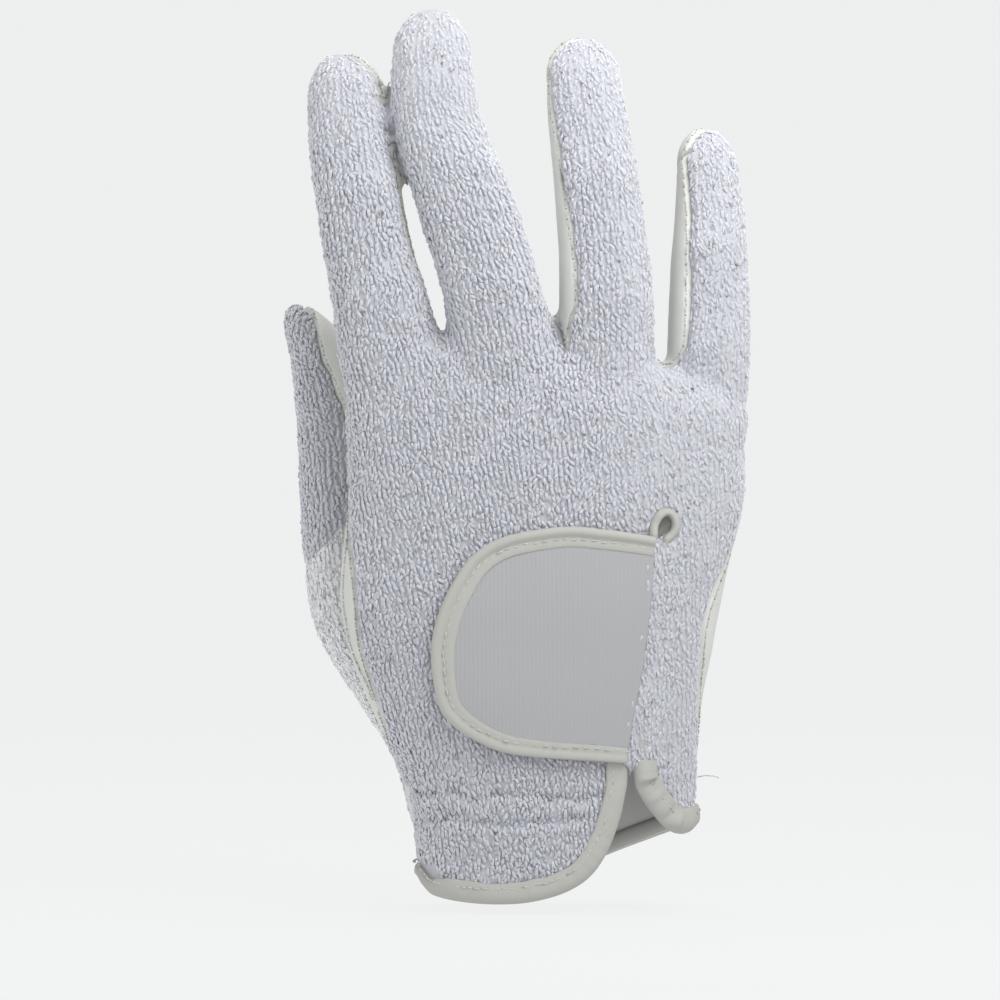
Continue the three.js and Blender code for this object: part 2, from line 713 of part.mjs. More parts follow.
// The tab's plan less a margin along its round edge, open towards the slit.
function tabInside(margin) {
  const inset = grown(tabRound, -margin).slice(1, -1);
  const lower = new THREE.Vector2(FAR, tabRound[0].y + margin);
  const upper = new THREE.Vector2(FAR, tabRound.at(-1).y - margin);
  return [lower, new THREE.Vector2(tabRound[0].x, lower.y), ...inset,
    new THREE.Vector2(tabRound.at(-1).x, upper.y), upper];
}

// A layer over the back of the palm, from one height above the terry to another.
function tabLayer(from, to) {
  return palmForm(to).subtract(palmForm(from));
}

const tabSeat = BINDING_PROUD + TAB_CLEARANCE;

function closureTab() {
  const plan = prism(tabOutline, -FAR, 0);
  const inside = prism(tabInside(TAB_BINDING_WIDTH + SEAM_GAP), -FAR, 0);
  return tabLayer(tabSeat, tabSeat + TAB_WALL).intersect(plan).intersect(inside);
}

function tabBinding() {
  const rim = prism(tabOutline, -FAR, 0).subtract(prism(tabInside(TAB_BINDING_WIDTH), -FAR, 0));
  return tabLayer(tabSeat, tabSeat + TAB_BINDING_WALL).intersect(rim);
}

const terry = { color: 0xeceef5, roughness: 0.95, metalness: 0 };
const leather = { color: 0xf1f1ee, roughness: 0.6, metalness: 0 };
const ribbedFabric = { color: 0xe2e2e6, roughness: 0.85, metalness: 0 };
const bindingTape = { color: 0xe9eae5, roughness: 0.7, metalness: 0 };

function piece(name, body, finish) {
  const { vertProperties, triVerts } = withoutCrumbs(body).getMesh();
  const geometry = new THREE.BufferGeometry();
  geometry.setAttribute("position", new THREE.BufferAttribute(vertProperties, 3));
  geometry.setIndex(new THREE.BufferAttribute(triVerts, 1));
  geometry.computeVertexNormals();
  const mesh = new THREE.Mesh(geometry, new THREE.MeshStandardMaterial(finish));
  mesh.name = name;
  return mesh;
}

// A cut can leave a crumb of no volume where two faces graze.
function withoutCrumbs(body) {
  const bodies = body.decompose().filter((part) => Math.abs(part.volume()) > 0.01);
  return bodies.reduce((joined, part) => joined.add(part));
}

const glove = new THREE.Group();
glove.add(piece("back_panel", backPanel(), terry));
glove.add(piece("palm_panel", palmPanel(), leather));
for (let i = 0; i + 1 < FINGERS.length; i++) {
  const [one, other] = [FINGERS[i], FINGERS[i + 1]];
  glove.add(piece(`fourchette_${one.name}_${other.name}`, fourchette(one, other), leather));
}
glove.add(piece("thumb_back", thumbBackPiece(), terry));
glove.add(piece("thumb_front", thumbFrontPiece(), leather));
glove.add(piece("closure_tab", closureTab(), ribbedFabric));
glove.add(piece("tab_binding", tabBinding(), bindingTape));
glove.add(piece("hem_binding", hemBinding(), bindingTape));
glove.add(piece("slit_binding", slitBinding(), bindingTape));

export default glove;
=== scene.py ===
# A right-hand racquet glove, worn upright: looped cotton terry over the back of the hand, smooth
# synthetic leather on the palm and between the fingers, and a strap tab over a bound wrist slit.
# Sizes are in millimetres until a mesh is made, and X, Y and Z are the frame's own axes.
import math

import bmesh
import bpy
import numpy as np
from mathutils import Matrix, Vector
from mathutils.kdtree import KDTree


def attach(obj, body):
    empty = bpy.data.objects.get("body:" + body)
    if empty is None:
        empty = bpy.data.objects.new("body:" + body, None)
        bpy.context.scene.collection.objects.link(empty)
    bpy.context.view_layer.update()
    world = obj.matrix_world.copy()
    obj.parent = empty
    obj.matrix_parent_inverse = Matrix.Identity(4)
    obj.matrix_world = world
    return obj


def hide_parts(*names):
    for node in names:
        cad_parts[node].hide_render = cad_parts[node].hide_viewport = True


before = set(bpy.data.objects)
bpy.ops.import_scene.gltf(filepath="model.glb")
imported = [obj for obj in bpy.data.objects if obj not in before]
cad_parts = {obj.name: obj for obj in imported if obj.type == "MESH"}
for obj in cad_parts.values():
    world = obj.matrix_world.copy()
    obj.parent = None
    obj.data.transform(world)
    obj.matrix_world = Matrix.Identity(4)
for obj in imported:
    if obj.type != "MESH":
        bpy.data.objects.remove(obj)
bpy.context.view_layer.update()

MM = 0.001
RANDOM = np.random.default_rng(7)

# Driving sizes, as the model's
PALM_LENGTH = 132.0
KNUCKLE_BREADTH, KNUCKLE_DEPTH = 96.0, 32.0
WRIST_BREADTH, WRIST_DEPTH = 65.0, 42.0
THUMB_LENGTH, THUMB_BREADTH, THUMB_DEPTH = 124.6, 22.0, 21.0
THUMB_BASE = 0.114 * PALM_LENGTH
THUMB_TIP = 0.4 * THUMB_BREADTH  # length of the rounded tip
HEM_OVERRUN = 12.0
PALM_POWER, FINGER_POWER = 2.5, 2.3  # 2 is an ellipse, more is squarer

# Palm sections: up as a share of the length, blend from wrist to knuckles, the rest as shares of
# the blended breadth and depth.
PALM_ROWS = dict(
    up=[0, 0.173, 0.261, 0.351, 0.439, 0.53, 0.617, 0.707, 0.795, 0.886, 0.925, 0.965, 1],
    blend=[0, 0, 0.15, 0.35, 0.6, 0.8, 0.95, 1, 1, 1, 1, 1, 1],
    left=[0.477, 0.514, 0.55, 0.58, 0.577, 0.56, 0.527, 0.502, 0.499, 0.502, 0.48, 0.45, 0.38],
    right=[0.508, 0.523, 0.499, 0.474, 0.458, 0.45, 0.455, 0.472, 0.473, 0.453, 0.36, 0.22, 0.15],
    back=[0.5, 0.488, 0.5, 0.532, 0.56, 0.588, 0.59, 0.578, 0.547, 0.484, 0.43, 0.33, 0.17],
    front=[0.5, 0.5, 0.51, 0.532, 0.55, 0.57, 0.55, 0.516, 0.44, 0.375, 0.32, 0.235, 0.08],
)
FINGERS = [
    dict(  # index
        length=66.3, breadth=24.6, depth=20.0, at=-0.4, arch=-0.03, web=1.0,
        seam_left=0.35, seam_right=[0.1, 0.0, -0.55, -0.6],
        up=[-0.4, 0, 0.09, 0.16, 0.265, 0.48, 0.69, 0.83, 1],
        shift=[0.05, 0, -0.019, -0.032, -0.06, -0.101, -0.133, -0.151, -0.155],
        wide=[0.88, 1, 0.95, 0.94, 0.89, 0.862, 0.84, 0.78, 0.74],
    ),
    dict(  # middle
        length=75.7, breadth=25.1, depth=20.5, at=-0.127, arch=-0.125, web=1.0076,
        seam_left=0.1, seam_right=0.1,
        up=[-0.4, 0, 0.1, 0.22, 0.47, 0.59, 0.72, 0.81, 1],
        shift=[0.02, 0, -0.018, -0.051, -0.132, -0.173, -0.206, -0.211, -0.213],
        wide=[0.98, 1, 0.955, 0.956, 0.928, 0.873, 0.82, 0.8, 0.74],
    ),
    dict(  # ring
        length=69.9, breadth=23.0, depth=19.5, at=0.134, arch=-0.1, web=1.0,
        seam_left=[-0.8, -0.88, -0.68, -0.4], seam_right=0.1,
        up=[-0.4, 0, 0.12, 0.25, 0.52, 0.79, 1],
        shift=[0, 0, -0.003, -0.009, -0.037, -0.07, -0.088],
        wide=[0.98, 1, 1, 0.97, 0.9, 0.84, 0.76],
    ),
    dict(  # little
        length=58.7, breadth=20.4, depth=18.0, at=0.381, arch=0.06, web=0.924,
        seam_left=[-0.8, -0.88, -0.87, -0.75], seam_right=0.35,
        up=[-0.4, 0, 0.2, 0.51, 0.63, 0.79, 1],
        shift=[-0.06, 0, 0.007, 0.01, 0.012, 0.005, -0.008],
        wide=[0.84, 1, 0.995, 0.917, 0.863, 0.77, 0.66],
    ),
]
CURL_ROWS = dict(
    up=[-0.4, 0, 0.3, 0.55, 0.8, 1],
    curl=[0, 0, 0.01, 0.05, 0.12, 0.19],
    deep=[1.04, 1, 0.97, 0.93, 0.84, 0.72],
)
THUMB_ROWS = dict(
    up=[0, 0.157, 0.251, 0.345, 0.44, 0.534, 0.626, 0.819, 0.891, 1],
    shift=[0.233, 0.196, 0.124, 0.058, 0.018, 0.001, -0.01, -0.032, -0.051, -0.104],
    wide=[1.27, 1.42, 1.32, 1.25, 1.15, 1.03, 0.98, 0.87, 0.76, 0.5],
    back=[-0.056, -0.02, 0.008, 0.028, 0.04, 0.05, 0.062, 0.092, 0.104, 0.12],
    deep=[1.24, 1.29, 1.33, 1.29, 1.24, 1.17, 1.07, 0.95, 0.9, 0.7],
)
SIDE_SEAM_ROWS = dict(
    up=[0, 0.25, 0.32, 0.44, 0.6, 0.67, 0.76],
    thumb_side=[0.1, -0.15, -0.42, -0.5, -0.45, -0.2, 0.2],
    little_side=[0.1, -0.05, -0.25, -0.5, -0.25, 0.1, 0.3],
)
SIDE_WALL_ROWS = dict(up=[-0.4, 0.5, 0.8, 1], palm=[0.55, 0.5, 0.35, -1.5])


def through(ups, values):
    """A smooth curve through a table's column, flat beyond its ends."""
    ups = np.asarray(ups, float)
    values = np.asarray(values, float)
    slopes = np.gradient(values, ups)

    def at(up):
        up = np.clip(up, ups[0], ups[-1])
        i = np.clip(np.searchsorted(ups, up, side="right") - 1, 0, len(ups) - 2)
        step = ups[i + 1] - ups[i]
        t = (up - ups[i]) / step
        start = (1 + 2 * t) * (1 - t) ** 2 * values[i] + t * (1 - t) ** 2 * step * slopes[i]
        end = t * t * (3 - 2 * t) * values[i + 1] + t * t * (t - 1) * step * slopes[i + 1]
        return start + end

    return at


def columns(rows):
    return {key: through(rows["up"], rows[key]) for key in rows if key != "up"}


palm = columns(PALM_ROWS)
curl = columns(CURL_ROWS)
thumb = columns(THUMB_ROWS)
side_seam = columns(SIDE_SEAM_ROWS)
side_wall = columns(SIDE_WALL_ROWS)
SEAM_UPS = [-0.4, 0, 0.6, 1]  # heights of a side seam given by four shares
for finger in FINGERS:
    finger["root"] = finger["web"] * PALM_LENGTH
    finger["tip"] = 0.42 * finger["breadth"]  # length of the rounded tip
    finger["curve"] = columns({key: finger[key] for key in ("up", "shift", "wide")})
    for side in ("seam_left", "seam_right"):
        shares = finger[side] if isinstance(finger[side], list) else [finger[side]] * 4
        finger[side] = through(SEAM_UPS, shares)


def smoothstep(low, high, value):
    t = np.clip((value - low) / (high - low), 0, 1)
    return t * t * (3 - 2 * t)


def unit(vectors):
    return vectors / np.maximum(np.linalg.norm(vectors, axis=-1, keepdims=True), 1e-9)


def palm_at(up):
    """The palm's middle and half sizes at a share of its length."""
    blend = np.clip(palm["blend"](up), 0, 1)
    breadth = WRIST_BREADTH + (KNUCKLE_BREADTH - WRIST_BREADTH) * blend
    depth = WRIST_DEPTH + (KNUCKLE_DEPTH - WRIST_DEPTH) * blend
    left, right = -palm["left"](up) * breadth, palm["right"](up) * breadth
    back, front = -palm["back"](up) * depth, palm["front"](up) * depth
    return (left + right) / 2, (back + front) / 2, (right - left) / 2, (front - back) / 2


def dome(up, length, radius):
    start = 1 - radius / length
    past = np.clip((up - start) / (1 - start), 0, 1)
    return np.sqrt(1 - past * past)


def finger_at(finger, up, domed=True):
    x = finger["at"] * KNUCKLE_BREADTH + finger["curve"]["shift"](up) * finger["length"]
    y = finger["arch"] * KNUCKLE_DEPTH + curl["curl"](up) * finger["length"]
    half_x = finger["breadth"] * finger["curve"]["wide"](up) / 2
    half_y = finger["depth"] * curl["deep"](up) / 2
    if domed:
        rounding = dome(up, finger["length"], finger["tip"])
        return x, y, half_x * rounding, half_y * rounding
    return x, y, half_x, half_y


def thumb_at(up, domed=True):
    x = -KNUCKLE_BREADTH / 2 + thumb["shift"](up) * THUMB_LENGTH
    y = KNUCKLE_DEPTH / 2 + thumb["back"](up) * THUMB_LENGTH
    half_x = THUMB_BREADTH * thumb["wide"](up) / 2
    half_y = THUMB_DEPTH * thumb["deep"](up) / 2
    if domed:
        rounding = dome(up, THUMB_LENGTH, THUMB_TIP)
        return x, y, half_x * rounding, half_y * rounding
    return x, y, half_x, half_y


def oval(x, y, z, half_x, half_y, power, sides=64):
    angle = np.linspace(0, 2 * math.pi, sides, endpoint=False)
    cos, sin = np.cos(angle), np.sin(angle)
    points = np.empty((sides, 3))
    points[:, 0] = x + half_x * np.sign(cos) * np.abs(cos) ** (2 / power)
    points[:, 1] = y + half_y * np.sign(sin) * np.abs(sin) ** (2 / power)
    points[:, 2] = z
    return points


def tube_faces(rings, sides, turned=False):
    """Faces of a closed tube. They face out where a ring runs anticlockwise, or else are turned."""
    faces = []
    for i in range(rings - 1):
        for k in range(sides):
            a, b = k, (k + 1) % sides
            if turned:
                a, b = b, a
            faces.append((i * sides + a, i * sides + b, (i + 1) * sides + b, (i + 1) * sides + a))
    first, last = tuple(range(sides)), tuple(range((rings - 1) * sides, rings * sides))
    return faces + ([first, last[::-1]] if turned else [first[::-1], last])


def closed_tube(rings):
    return np.concatenate(rings), tube_faces(len(rings), len(rings[0]))


def tip_shares(length, radius, first, count=26):
    """Shares of a length, close together over its rounded tip."""
    start = 1 - radius / length
    rounded = 1 - (1 - start) * (1 - np.sin(np.linspace(0, math.pi / 2, 12)))
    rounded[-1] = 1 - 1e-4
    return np.concatenate([np.linspace(first, start, count, endpoint=False), rounded])


def hand_tubes():
    """The palm, the fingers and the thumb, each a closed tube."""
    rings = [oval(*palm_at(0.0)[:2], -HEM_OVERRUN, *palm_at(0.0)[2:], PALM_POWER, 96)]
    for up in np.linspace(0, 1, 60):
        x, y, half_x, half_y = palm_at(up)
        rings.append(oval(x, y, up * PALM_LENGTH, half_x, half_y, PALM_POWER, 96))
    tubes = [closed_tube(rings)]
    for finger in FINGERS:
        rings = []
        for up in tip_shares(finger["length"], finger["tip"], -0.4):
            x, y, half_x, half_y = finger_at(finger, up)
            z = finger["root"] + up * finger["length"]
            rings.append(oval(x, y, z, half_x, half_y, FINGER_POWER))
        tubes.append(closed_tube(rings))
    rings = []
    for up in tip_shares(THUMB_LENGTH, THUMB_TIP, 0.0, 40):
        x, y, half_x, half_y = thumb_at(up)
        z = THUMB_BASE + up * THUMB_LENGTH
        rings.append(oval(x, y, z, half_x, half_y, FINGER_POWER))
    tubes.append(closed_tube(rings))
    return tubes


def make_object(name, points, faces):
    """A smooth-shaded object at the origin from points in millimetres."""
    mesh = bpy.data.meshes.new(name)
    mesh.from_pydata((np.asarray(points) * MM).tolist(), [], [tuple(face) for face in faces])
    mesh.update()
    mesh.polygons.foreach_set("use_smooth", [True] * len(mesh.polygons))
    made = bpy.data.objects.new(name, mesh)
    bpy.context.scene.collection.objects.link(made)
    return made


def plain_mesh(made):
    """The object's mesh with its modifiers worked out."""
    graph = bpy.context.evaluated_depsgraph_get()
    return bpy.data.meshes.new_from_object(made.evaluated_get(graph))


def face_outwards(made):
    turned = bmesh.new()
    turned.from_mesh(made.data)
    bmesh.ops.recalc_face_normals(turned, faces=turned.faces)
    turned.to_mesh(made.data)
    turned.free()
    return made


SKIN_VOXEL = 1.0  # size of the skin's triangles


def hand_skin():
    """One smooth skin over the tubes, as points in millimetres and triangles."""
    points, faces, offset = [], [], 0
    for tube_points, tube_faces in hand_tubes():
        points.append(tube_points)
        faces += [tuple(i + offset for i in face) for face in tube_faces]
        offset += len(tube_points)
    made = make_object("skin", np.concatenate(points), faces)
    remesh = made.modifiers.new("join", "REMESH")
    remesh.mode = "VOXEL"
    remesh.voxel_size = SKIN_VOXEL * MM
    relax = made.modifiers.new("relax", "SMOOTH")
    relax.factor = 0.5
    relax.iterations = 10
    made.modifiers.new("triangles", "TRIANGULATE")
    mesh = plain_mesh(made)
    count = len(mesh.vertices)
    flat = np.empty(count * 3)
    mesh.vertices.foreach_get("co", flat)
    triangles = np.empty(len(mesh.polygons) * 3, dtype=np.int64)
    mesh.polygons.foreach_get("vertices", triangles)
    bpy.data.objects.remove(made)
    return flat.reshape(-1, 3) / MM, triangles.reshape(-1, 3)


def split(skin, field):
    """Cuts a skin's triangles along a field's zero line. Returns it and each triangle's side.

    A skin is its data, one row a point with the place, the normal and any more, and triangles.
    """
    data, triangles = skin
    field = np.where(np.abs(field) < 0.06, 0.0, field)
    sign = np.sign(field)[triangles]
    crossing = (sign.min(axis=1) < 0) & (sign.max(axis=1) > 0)
    kept = triangles[~crossing]
    cut = triangles[crossing]
    edges = np.sort(np.concatenate([cut[:, [0, 1]], cut[:, [1, 2]], cut[:, [2, 0]]]), axis=1)
    unique, place = np.unique(edges, axis=0, return_inverse=True)
    place = place.reshape(3, -1).T
    a, b = unique[:, 0], unique[:, 1]
    crossed = field[a] * field[b] < 0
    share = np.where(crossed, field[a] / np.where(crossed, field[a] - field[b], 1), 0)[:, None]
    middle = data[a] + (data[b] - data[a]) * share
    number = np.where(crossed, np.cumsum(crossed) - 1 + len(data), -1)
    made = []
    for (i, j, k), (ij, jk, ki) in zip(cut, number[place]):
        if ij >= 0 and jk >= 0:
            made += [(ij, j, jk), (i, ij, jk), (i, jk, k)]
        elif jk >= 0 and ki >= 0:
            made += [(jk, k, ki), (j, jk, ki), (j, ki, i)]
        elif ij >= 0 and ki >= 0:
            made += [(ki, i, ij), (k, ki, ij), (k, ij, j)]
        elif ij >= 0:
            made += [(i, ij, k), (ij, j, k)]
        elif jk >= 0:
            made += [(j, jk, i), (jk, k, i)]
        else:
            made += [(k, ki, j), (ki, i, j)]
    data = np.concatenate([data, middle[crossed]])
    field = np.concatenate([field, np.zeros(crossed.sum())])
    triangles = np.concatenate([kept, np.array(made, dtype=np.int64).reshape(-1, 3)])
    return (data, triangles), field[triangles].sum(axis=1) > 0


def part_of(skin, chosen):
    """The chosen triangles, with only their own points."""
    data, triangles = skin
    triangles = triangles[chosen]
    used, place = np.unique(triangles, return_inverse=True)
    return data[used], place.reshape(-1, 3)


def parted(skin, field_of):
    """A skin cut in two: the part where the field is positive, and the rest."""
    skin, side = split(skin, field_of(skin[0][:, :3]))
    return part_of(skin, side), part_of(skin, ~side)


def rim_edges(triangles):
    edges = np.concatenate([triangles[:, [0, 1]], triangles[:, [1, 2]], triangles[:, [2, 0]]])
    _, place, count = np.unique(
        np.sort(edges, axis=1), axis=0, return_inverse=True, return_counts=True
    )
    return edges[count[place.reshape(-1)] == 1]


def vertex_normals(points, triangles):
    a, b, c = (points[triangles[:, i]] for i in range(3))
    face = np.cross(b - a, c - a)
    normals = np.zeros_like(points)
    for i in range(3):
        np.add.at(normals, triangles[:, i], face)
    return unit(normals)


def distance_to(points, targets, reach=40.0):
    """Distance from each point to the nearest target, up to a reach."""
    tree = KDTree(len(targets))
    for i, target in enumerate(targets):
        tree.insert(target, i)
    tree.balance()
    found = np.array([tree.find(point)[2] for point in points])
    return np.minimum(found, reach)


# Fields over the skin

def power_sum(points, section, power):
    """1 on a section's outline, less inside it and more outside."""
    x, y, half_x, half_y = section
    u = np.abs((points[..., 0] - x) / half_x)
    v = np.abs((points[..., 1] - y) / half_y)
    return u**power + v**power


def past_section(points, section, power):
    """About how far outside a section places are, negative inside it."""
    share = power_sum(points, section, power) ** (1 / power)
    return (share - 1) * np.minimum(section[2], section[3])


def palm_box(z):
    return palm_at(np.clip(z / PALM_LENGTH, 0, 1))


def finger_box(finger, z):
    up = np.clip((z - finger["root"]) / finger["length"], -0.4, 1)
    return (up, *finger_at(finger, up, domed=False))


def thumb_share(z):
    return (z - THUMB_BASE) / THUMB_LENGTH


def thumb_box(z):
    return thumb_at(np.clip(thumb_share(z), 0, 0.9), domed=False)


def nearest_finger(points):
    """The finger that each place belongs to, by its place across."""
    gaps = []
    for finger in FINGERS:
        _, x, _, half_x, _ = finger_box(finger, points[:, 2])
        gaps.append(np.abs(points[:, 0] - x) - half_x)
    return np.argmin(gaps, axis=0)


def thumb_field(points):
    """Positive on the thumb, negative on the rest of the hand."""
    z = points[:, 2]
    past_palm = past_section(points, palm_box(z), PALM_POWER) + np.maximum(0, z - PALM_LENGTH)
    past_index = past_section(points, finger_box(FINGERS[0], z)[1:], FINGER_POWER)
    past_thumb = past_section(points, thumb_box(z), FINGER_POWER)
    past_thumb += np.maximum(0, z - THUMB_BASE - THUMB_LENGTH - 1) + np.maximum(0, THUMB_BASE - z)
    return np.minimum(past_palm, past_index) - past_thumb


def thumb_seam_field(points):
    """Positive on the thumb's smooth side, towards the fingers."""
    x, y, half_x, half_y = thumb_box(points[:, 2])
    near_tip = 3.0 * smoothstep(104, 134, points[:, 2])
    return points[:, 0] - x + half_x * (0.065 + 0.335 * (points[:, 1] - y) / half_y) + near_tip


def outer_seam(finger, palm_share, finger_share, z):
    up = np.clip(z / PALM_LENGTH, 0, 1)
    _, palm_y, _, palm_half = palm_at(np.minimum(up, 0.886))
    along, _, y, _, half_y = finger_box(finger, z)
    on_finger = y + finger_share(along) * half_y
    share = smoothstep(0.76, 0.92, up)
    return (palm_y + palm_share * palm_half) * (1 - share) + on_finger * share


def between_knots(x, knots):
    """The knots' second values at x, straight from knot to knot."""
    value = knots[0][1] + 0 * x
    for (x0, y0), (x1, y1) in zip(knots, knots[1:]):
        share = np.clip((x - x0) / np.maximum(x1 - x0, 1e-6), 0, 1)
        value = np.where(x > x0, y0 + (y1 - y0) * share, value)
    return value


def terry_field(points):
    """Positive on the terry, which covers the back of the hand."""
    x, z = points[:, 0], points[:, 2]
    up = np.clip(z / PALM_LENGTH, 0, 1)
    left_edge = outer_seam(FINGERS[0], side_seam["thumb_side"](up), FINGERS[0]["seam_left"], z)
    right_edge = outer_seam(FINGERS[-1], side_seam["little_side"](up), FINGERS[-1]["seam_right"], z)
    knots = [(-200.0 + 0 * z, left_edge)]
    for finger in FINGERS:
        along, fx, fy, half_x, half_y = finger_box(finger, z)
        left = fy + finger["seam_left"](along) * half_y
        right = fy + finger["seam_right"](along) * half_y
        over_web = 2.2 * (1 - smoothstep(finger["root"], finger["root"] + 8, z))
        left, right = left + over_web, right + over_web
        if finger is FINGERS[0]:
            left = left_edge
        if finger is FINGERS[-1]:
            right = right_edge
        for share, depth in ((-0.9, left), (-0.35, left), (0.35, right), (0.9, right)):
            knots.append((fx + share * half_x, depth))
    return between_knots(x, knots) - points[:, 1]


def side_wall_field(points):
    """Positive on the palm's leather, negative on the side walls between the fingers."""
    x, z = points[:, 0], points[:, 2]
    knots = [(-200.0 + 0 * z, -90.0 + 0 * z)]
    for finger in FINGERS:
        up, fx, fy, half_x, half_y = finger_box(finger, z)
        edge = np.where(z < 0.86 * PALM_LENGTH, -90.0, fy + side_wall["palm"](up) * half_y)
        left = -90.0 + 0 * z if finger is FINGERS[0] else edge
        right = -90.0 + 0 * z if finger is FINGERS[-1] else edge
        for share, depth in ((-0.9, left), (-0.05, left), (0.05, right), (0.9, right)):
            knots.append((fx + share * half_x, depth))
    return points[:, 1] - between_knots(x, knots)


def plan_line(rows, breadth=WRIST_BREADTH, height=PALM_LENGTH):
    return np.array([(across * breadth, up * height) for across, up in rows])


def spline(points, count):
    """A smooth line through points, evenly spaced."""
    points = np.asarray(points, float)
    padded = np.concatenate([2 * points[:1] - points[1:2], points, 2 * points[-1:] - points[-2:-1]])
    pieces = []
    for i in range(len(points) - 1):
        p0, p1, p2, p3 = padded[i : i + 4]
        t = np.linspace(0, 1, 40, endpoint=False)[:, None]
        pieces.append(
            0.5
            * (
                2 * p1
                + (p2 - p0) * t
                + (2 * p0 - 5 * p1 + 4 * p2 - p3) * t * t
                + (3 * p1 - p0 - 3 * p2 + p3) * t**3
            )
        )
    return evenly(np.concatenate(pieces + [points[-1:]]), count)


def evenly(line, count):
    """A line's rows at even steps. Columns past the third follow the place."""
    steps = np.linalg.norm(np.diff(line[:, :3], axis=0), axis=1)
    along = np.concatenate([[0], np.cumsum(steps)])
    wanted = np.linspace(0, along[-1], count)
    return np.stack([np.interp(wanted, along, line[:, i]) for i in range(line.shape[1])], axis=1)


# The hem and the slit in the plan, as shares of the wrist's breadth and the palm's length
FLAP_HEM = [
    (-0.477, 0.038), (-0.455, 0.02), (-0.42, 0.007), (-0.308, -0.001), (-0.185, -0.003),
    (-0.072, 0.002), (0.043, 0.018), (0.131, 0.045), (0.192, 0.087), (0.238, 0.144), (0.266, 0.205),
]
SLIT_LINE = [
    (0.282, 0.235), (0.289, 0.318), (0.317, 0.415), (0.345, 0.525), (0.363, 0.598), (0.394, 0.661),
]
OUTER_HEM = [(0.3, 0.205), (0.343, 0.171), (0.42, 0.129), (0.477, 0.117), (0.523, 0.128)]
PALM_HEM = [
    (-0.477, 0.038), (-0.45, 0.02), (-0.4, 0.009), (-0.3, 0.006), (0, 0.03), (0.3, 0.085),
    (0.523, 0.128),
]
SLIT_WIDTH = 1.6
SLIT_FOOT, SLIT_TOP = 33.5, 83  # heights where the slit's tape starts and its eye begins

flap_line = spline(plan_line(FLAP_HEM), 80)
slit_line = spline(plan_line(SLIT_LINE), 60)
outer_line = spline(plan_line(OUTER_HEM), 40)
palm_hem_line = spline(plan_line(PALM_HEM), 60)
half_slit = np.array([SLIT_WIDTH / 2, 0])
slit_foot = slit_line[slit_line[:, 1] < SLIT_FOOT]
slit_body = slit_line[(slit_line[:, 1] > SLIT_FOOT) & (slit_line[:, 1] < SLIT_TOP)]
# The slit ends in a small eye, from its left side over the top to its right side.
SLIT_EYE = [
    (24.4, 84.8), (24.5, 86.4), (25.1, 88.1), (26.0, 89.4), (27.0, 89.6), (27.7, 88.7),
    (27.9, 87.3), (27.4, 86.1), (26.6, 85.3), (25.7, 84.5),
]
slit_edge = spline(
    np.concatenate([slit_body - half_slit, SLIT_EYE, (slit_body + half_slit)[::-1]]), 420
)
FRONT_OPENING = np.concatenate([
    [(-300, flap_line[0, 1])], flap_line, slit_foot - half_slit, slit_edge,
    (slit_foot + half_slit)[::-1], outer_line,
    [(300, outer_line[-1, 1]), (300, -300), (-300, -300)],
])
PALM_OPENING = np.concatenate([
    [(-300, palm_hem_line[0, 1])], palm_hem_line,
    [(300, palm_hem_line[-1, 1]), (300, -300), (-300, -300)],
])


def outside(plan, outline):
    """Distance in the plan from a closed outline, negative inside it."""
    nearest = np.full(len(plan), 1e9)
    crossings = np.zeros(len(plan), dtype=int)
    for a, b in zip(outline, np.roll(outline, -1, axis=0)):
        edge = b - a
        share = np.clip(((plan - a) @ edge) / max(edge @ edge, 1e-9), 0, 1)[:, None]
        nearest = np.minimum(nearest, np.linalg.norm(plan - a - edge * share, axis=1))
        spans = (a[1] > plan[:, 1]) != (b[1] > plan[:, 1])
        where = a[0] + (plan[:, 1] - a[1]) * edge[0] / (edge[1] if edge[1] else 1e-9)
        crossings += spans & (plan[:, 0] < where)
    return np.where(crossings % 2 == 1, -nearest, nearest)


def hem_field(points):
    """Distance above the hem and from the slit, negative in what they leave open."""
    plan = points[:, [0, 2]]
    low = plan[:, 1] < 100
    front = np.full(len(plan), 50.0)
    back = np.full(len(plan), 50.0)
    front[low] = outside(plan[low], FRONT_OPENING)
    back[low] = outside(plan[low], PALM_OPENING)
    return np.where(points[:, 1] < 0, front, back)


def lattice_value(cells, seed):
    """A fixed value from 0 to 1 for each whole-numbered cell."""
    mixed = np.zeros(cells.shape[:-1], dtype=np.uint64)
    for i, factor in enumerate((73856093, 19349663, 83492791)[: cells.shape[-1]]):
        mixed ^= cells[..., i].astype(np.int64).astype(np.uint64) * np.uint64(factor + 2 * seed)
    mixed = (mixed ^ (mixed >> np.uint64(13))) * np.uint64(0x5BD1E995 + seed)
    mixed ^= mixed >> np.uint64(15)
    return (mixed % np.uint64(65536)).astype(float) / 65535


def noise(points, size, seed=0):
    """Smooth values from -1 to 1 over places, changing over about a size in mm."""
    scaled = np.asarray(points, float) / size
    whole = np.floor(scaled)
    part = scaled - whole
    part = part * part * (3 - 2 * part)
    total = 0
    for corner in range(8):
        step = np.array([corner & 1, corner >> 1 & 1, corner >> 2 & 1])
        weight = np.prod(np.where(step, part, 1 - part), axis=-1)
        total = total + weight * lattice_value(whole + step, seed)
    return total * 2 - 1


INNER_FACE = 2.1  # how far the wall's inner face lies inside the skin
FACE_LEVEL = -0.5  # height of a panel's face off the skin
SEAM_TUCK = 1.15  # how far the face dips at its seams


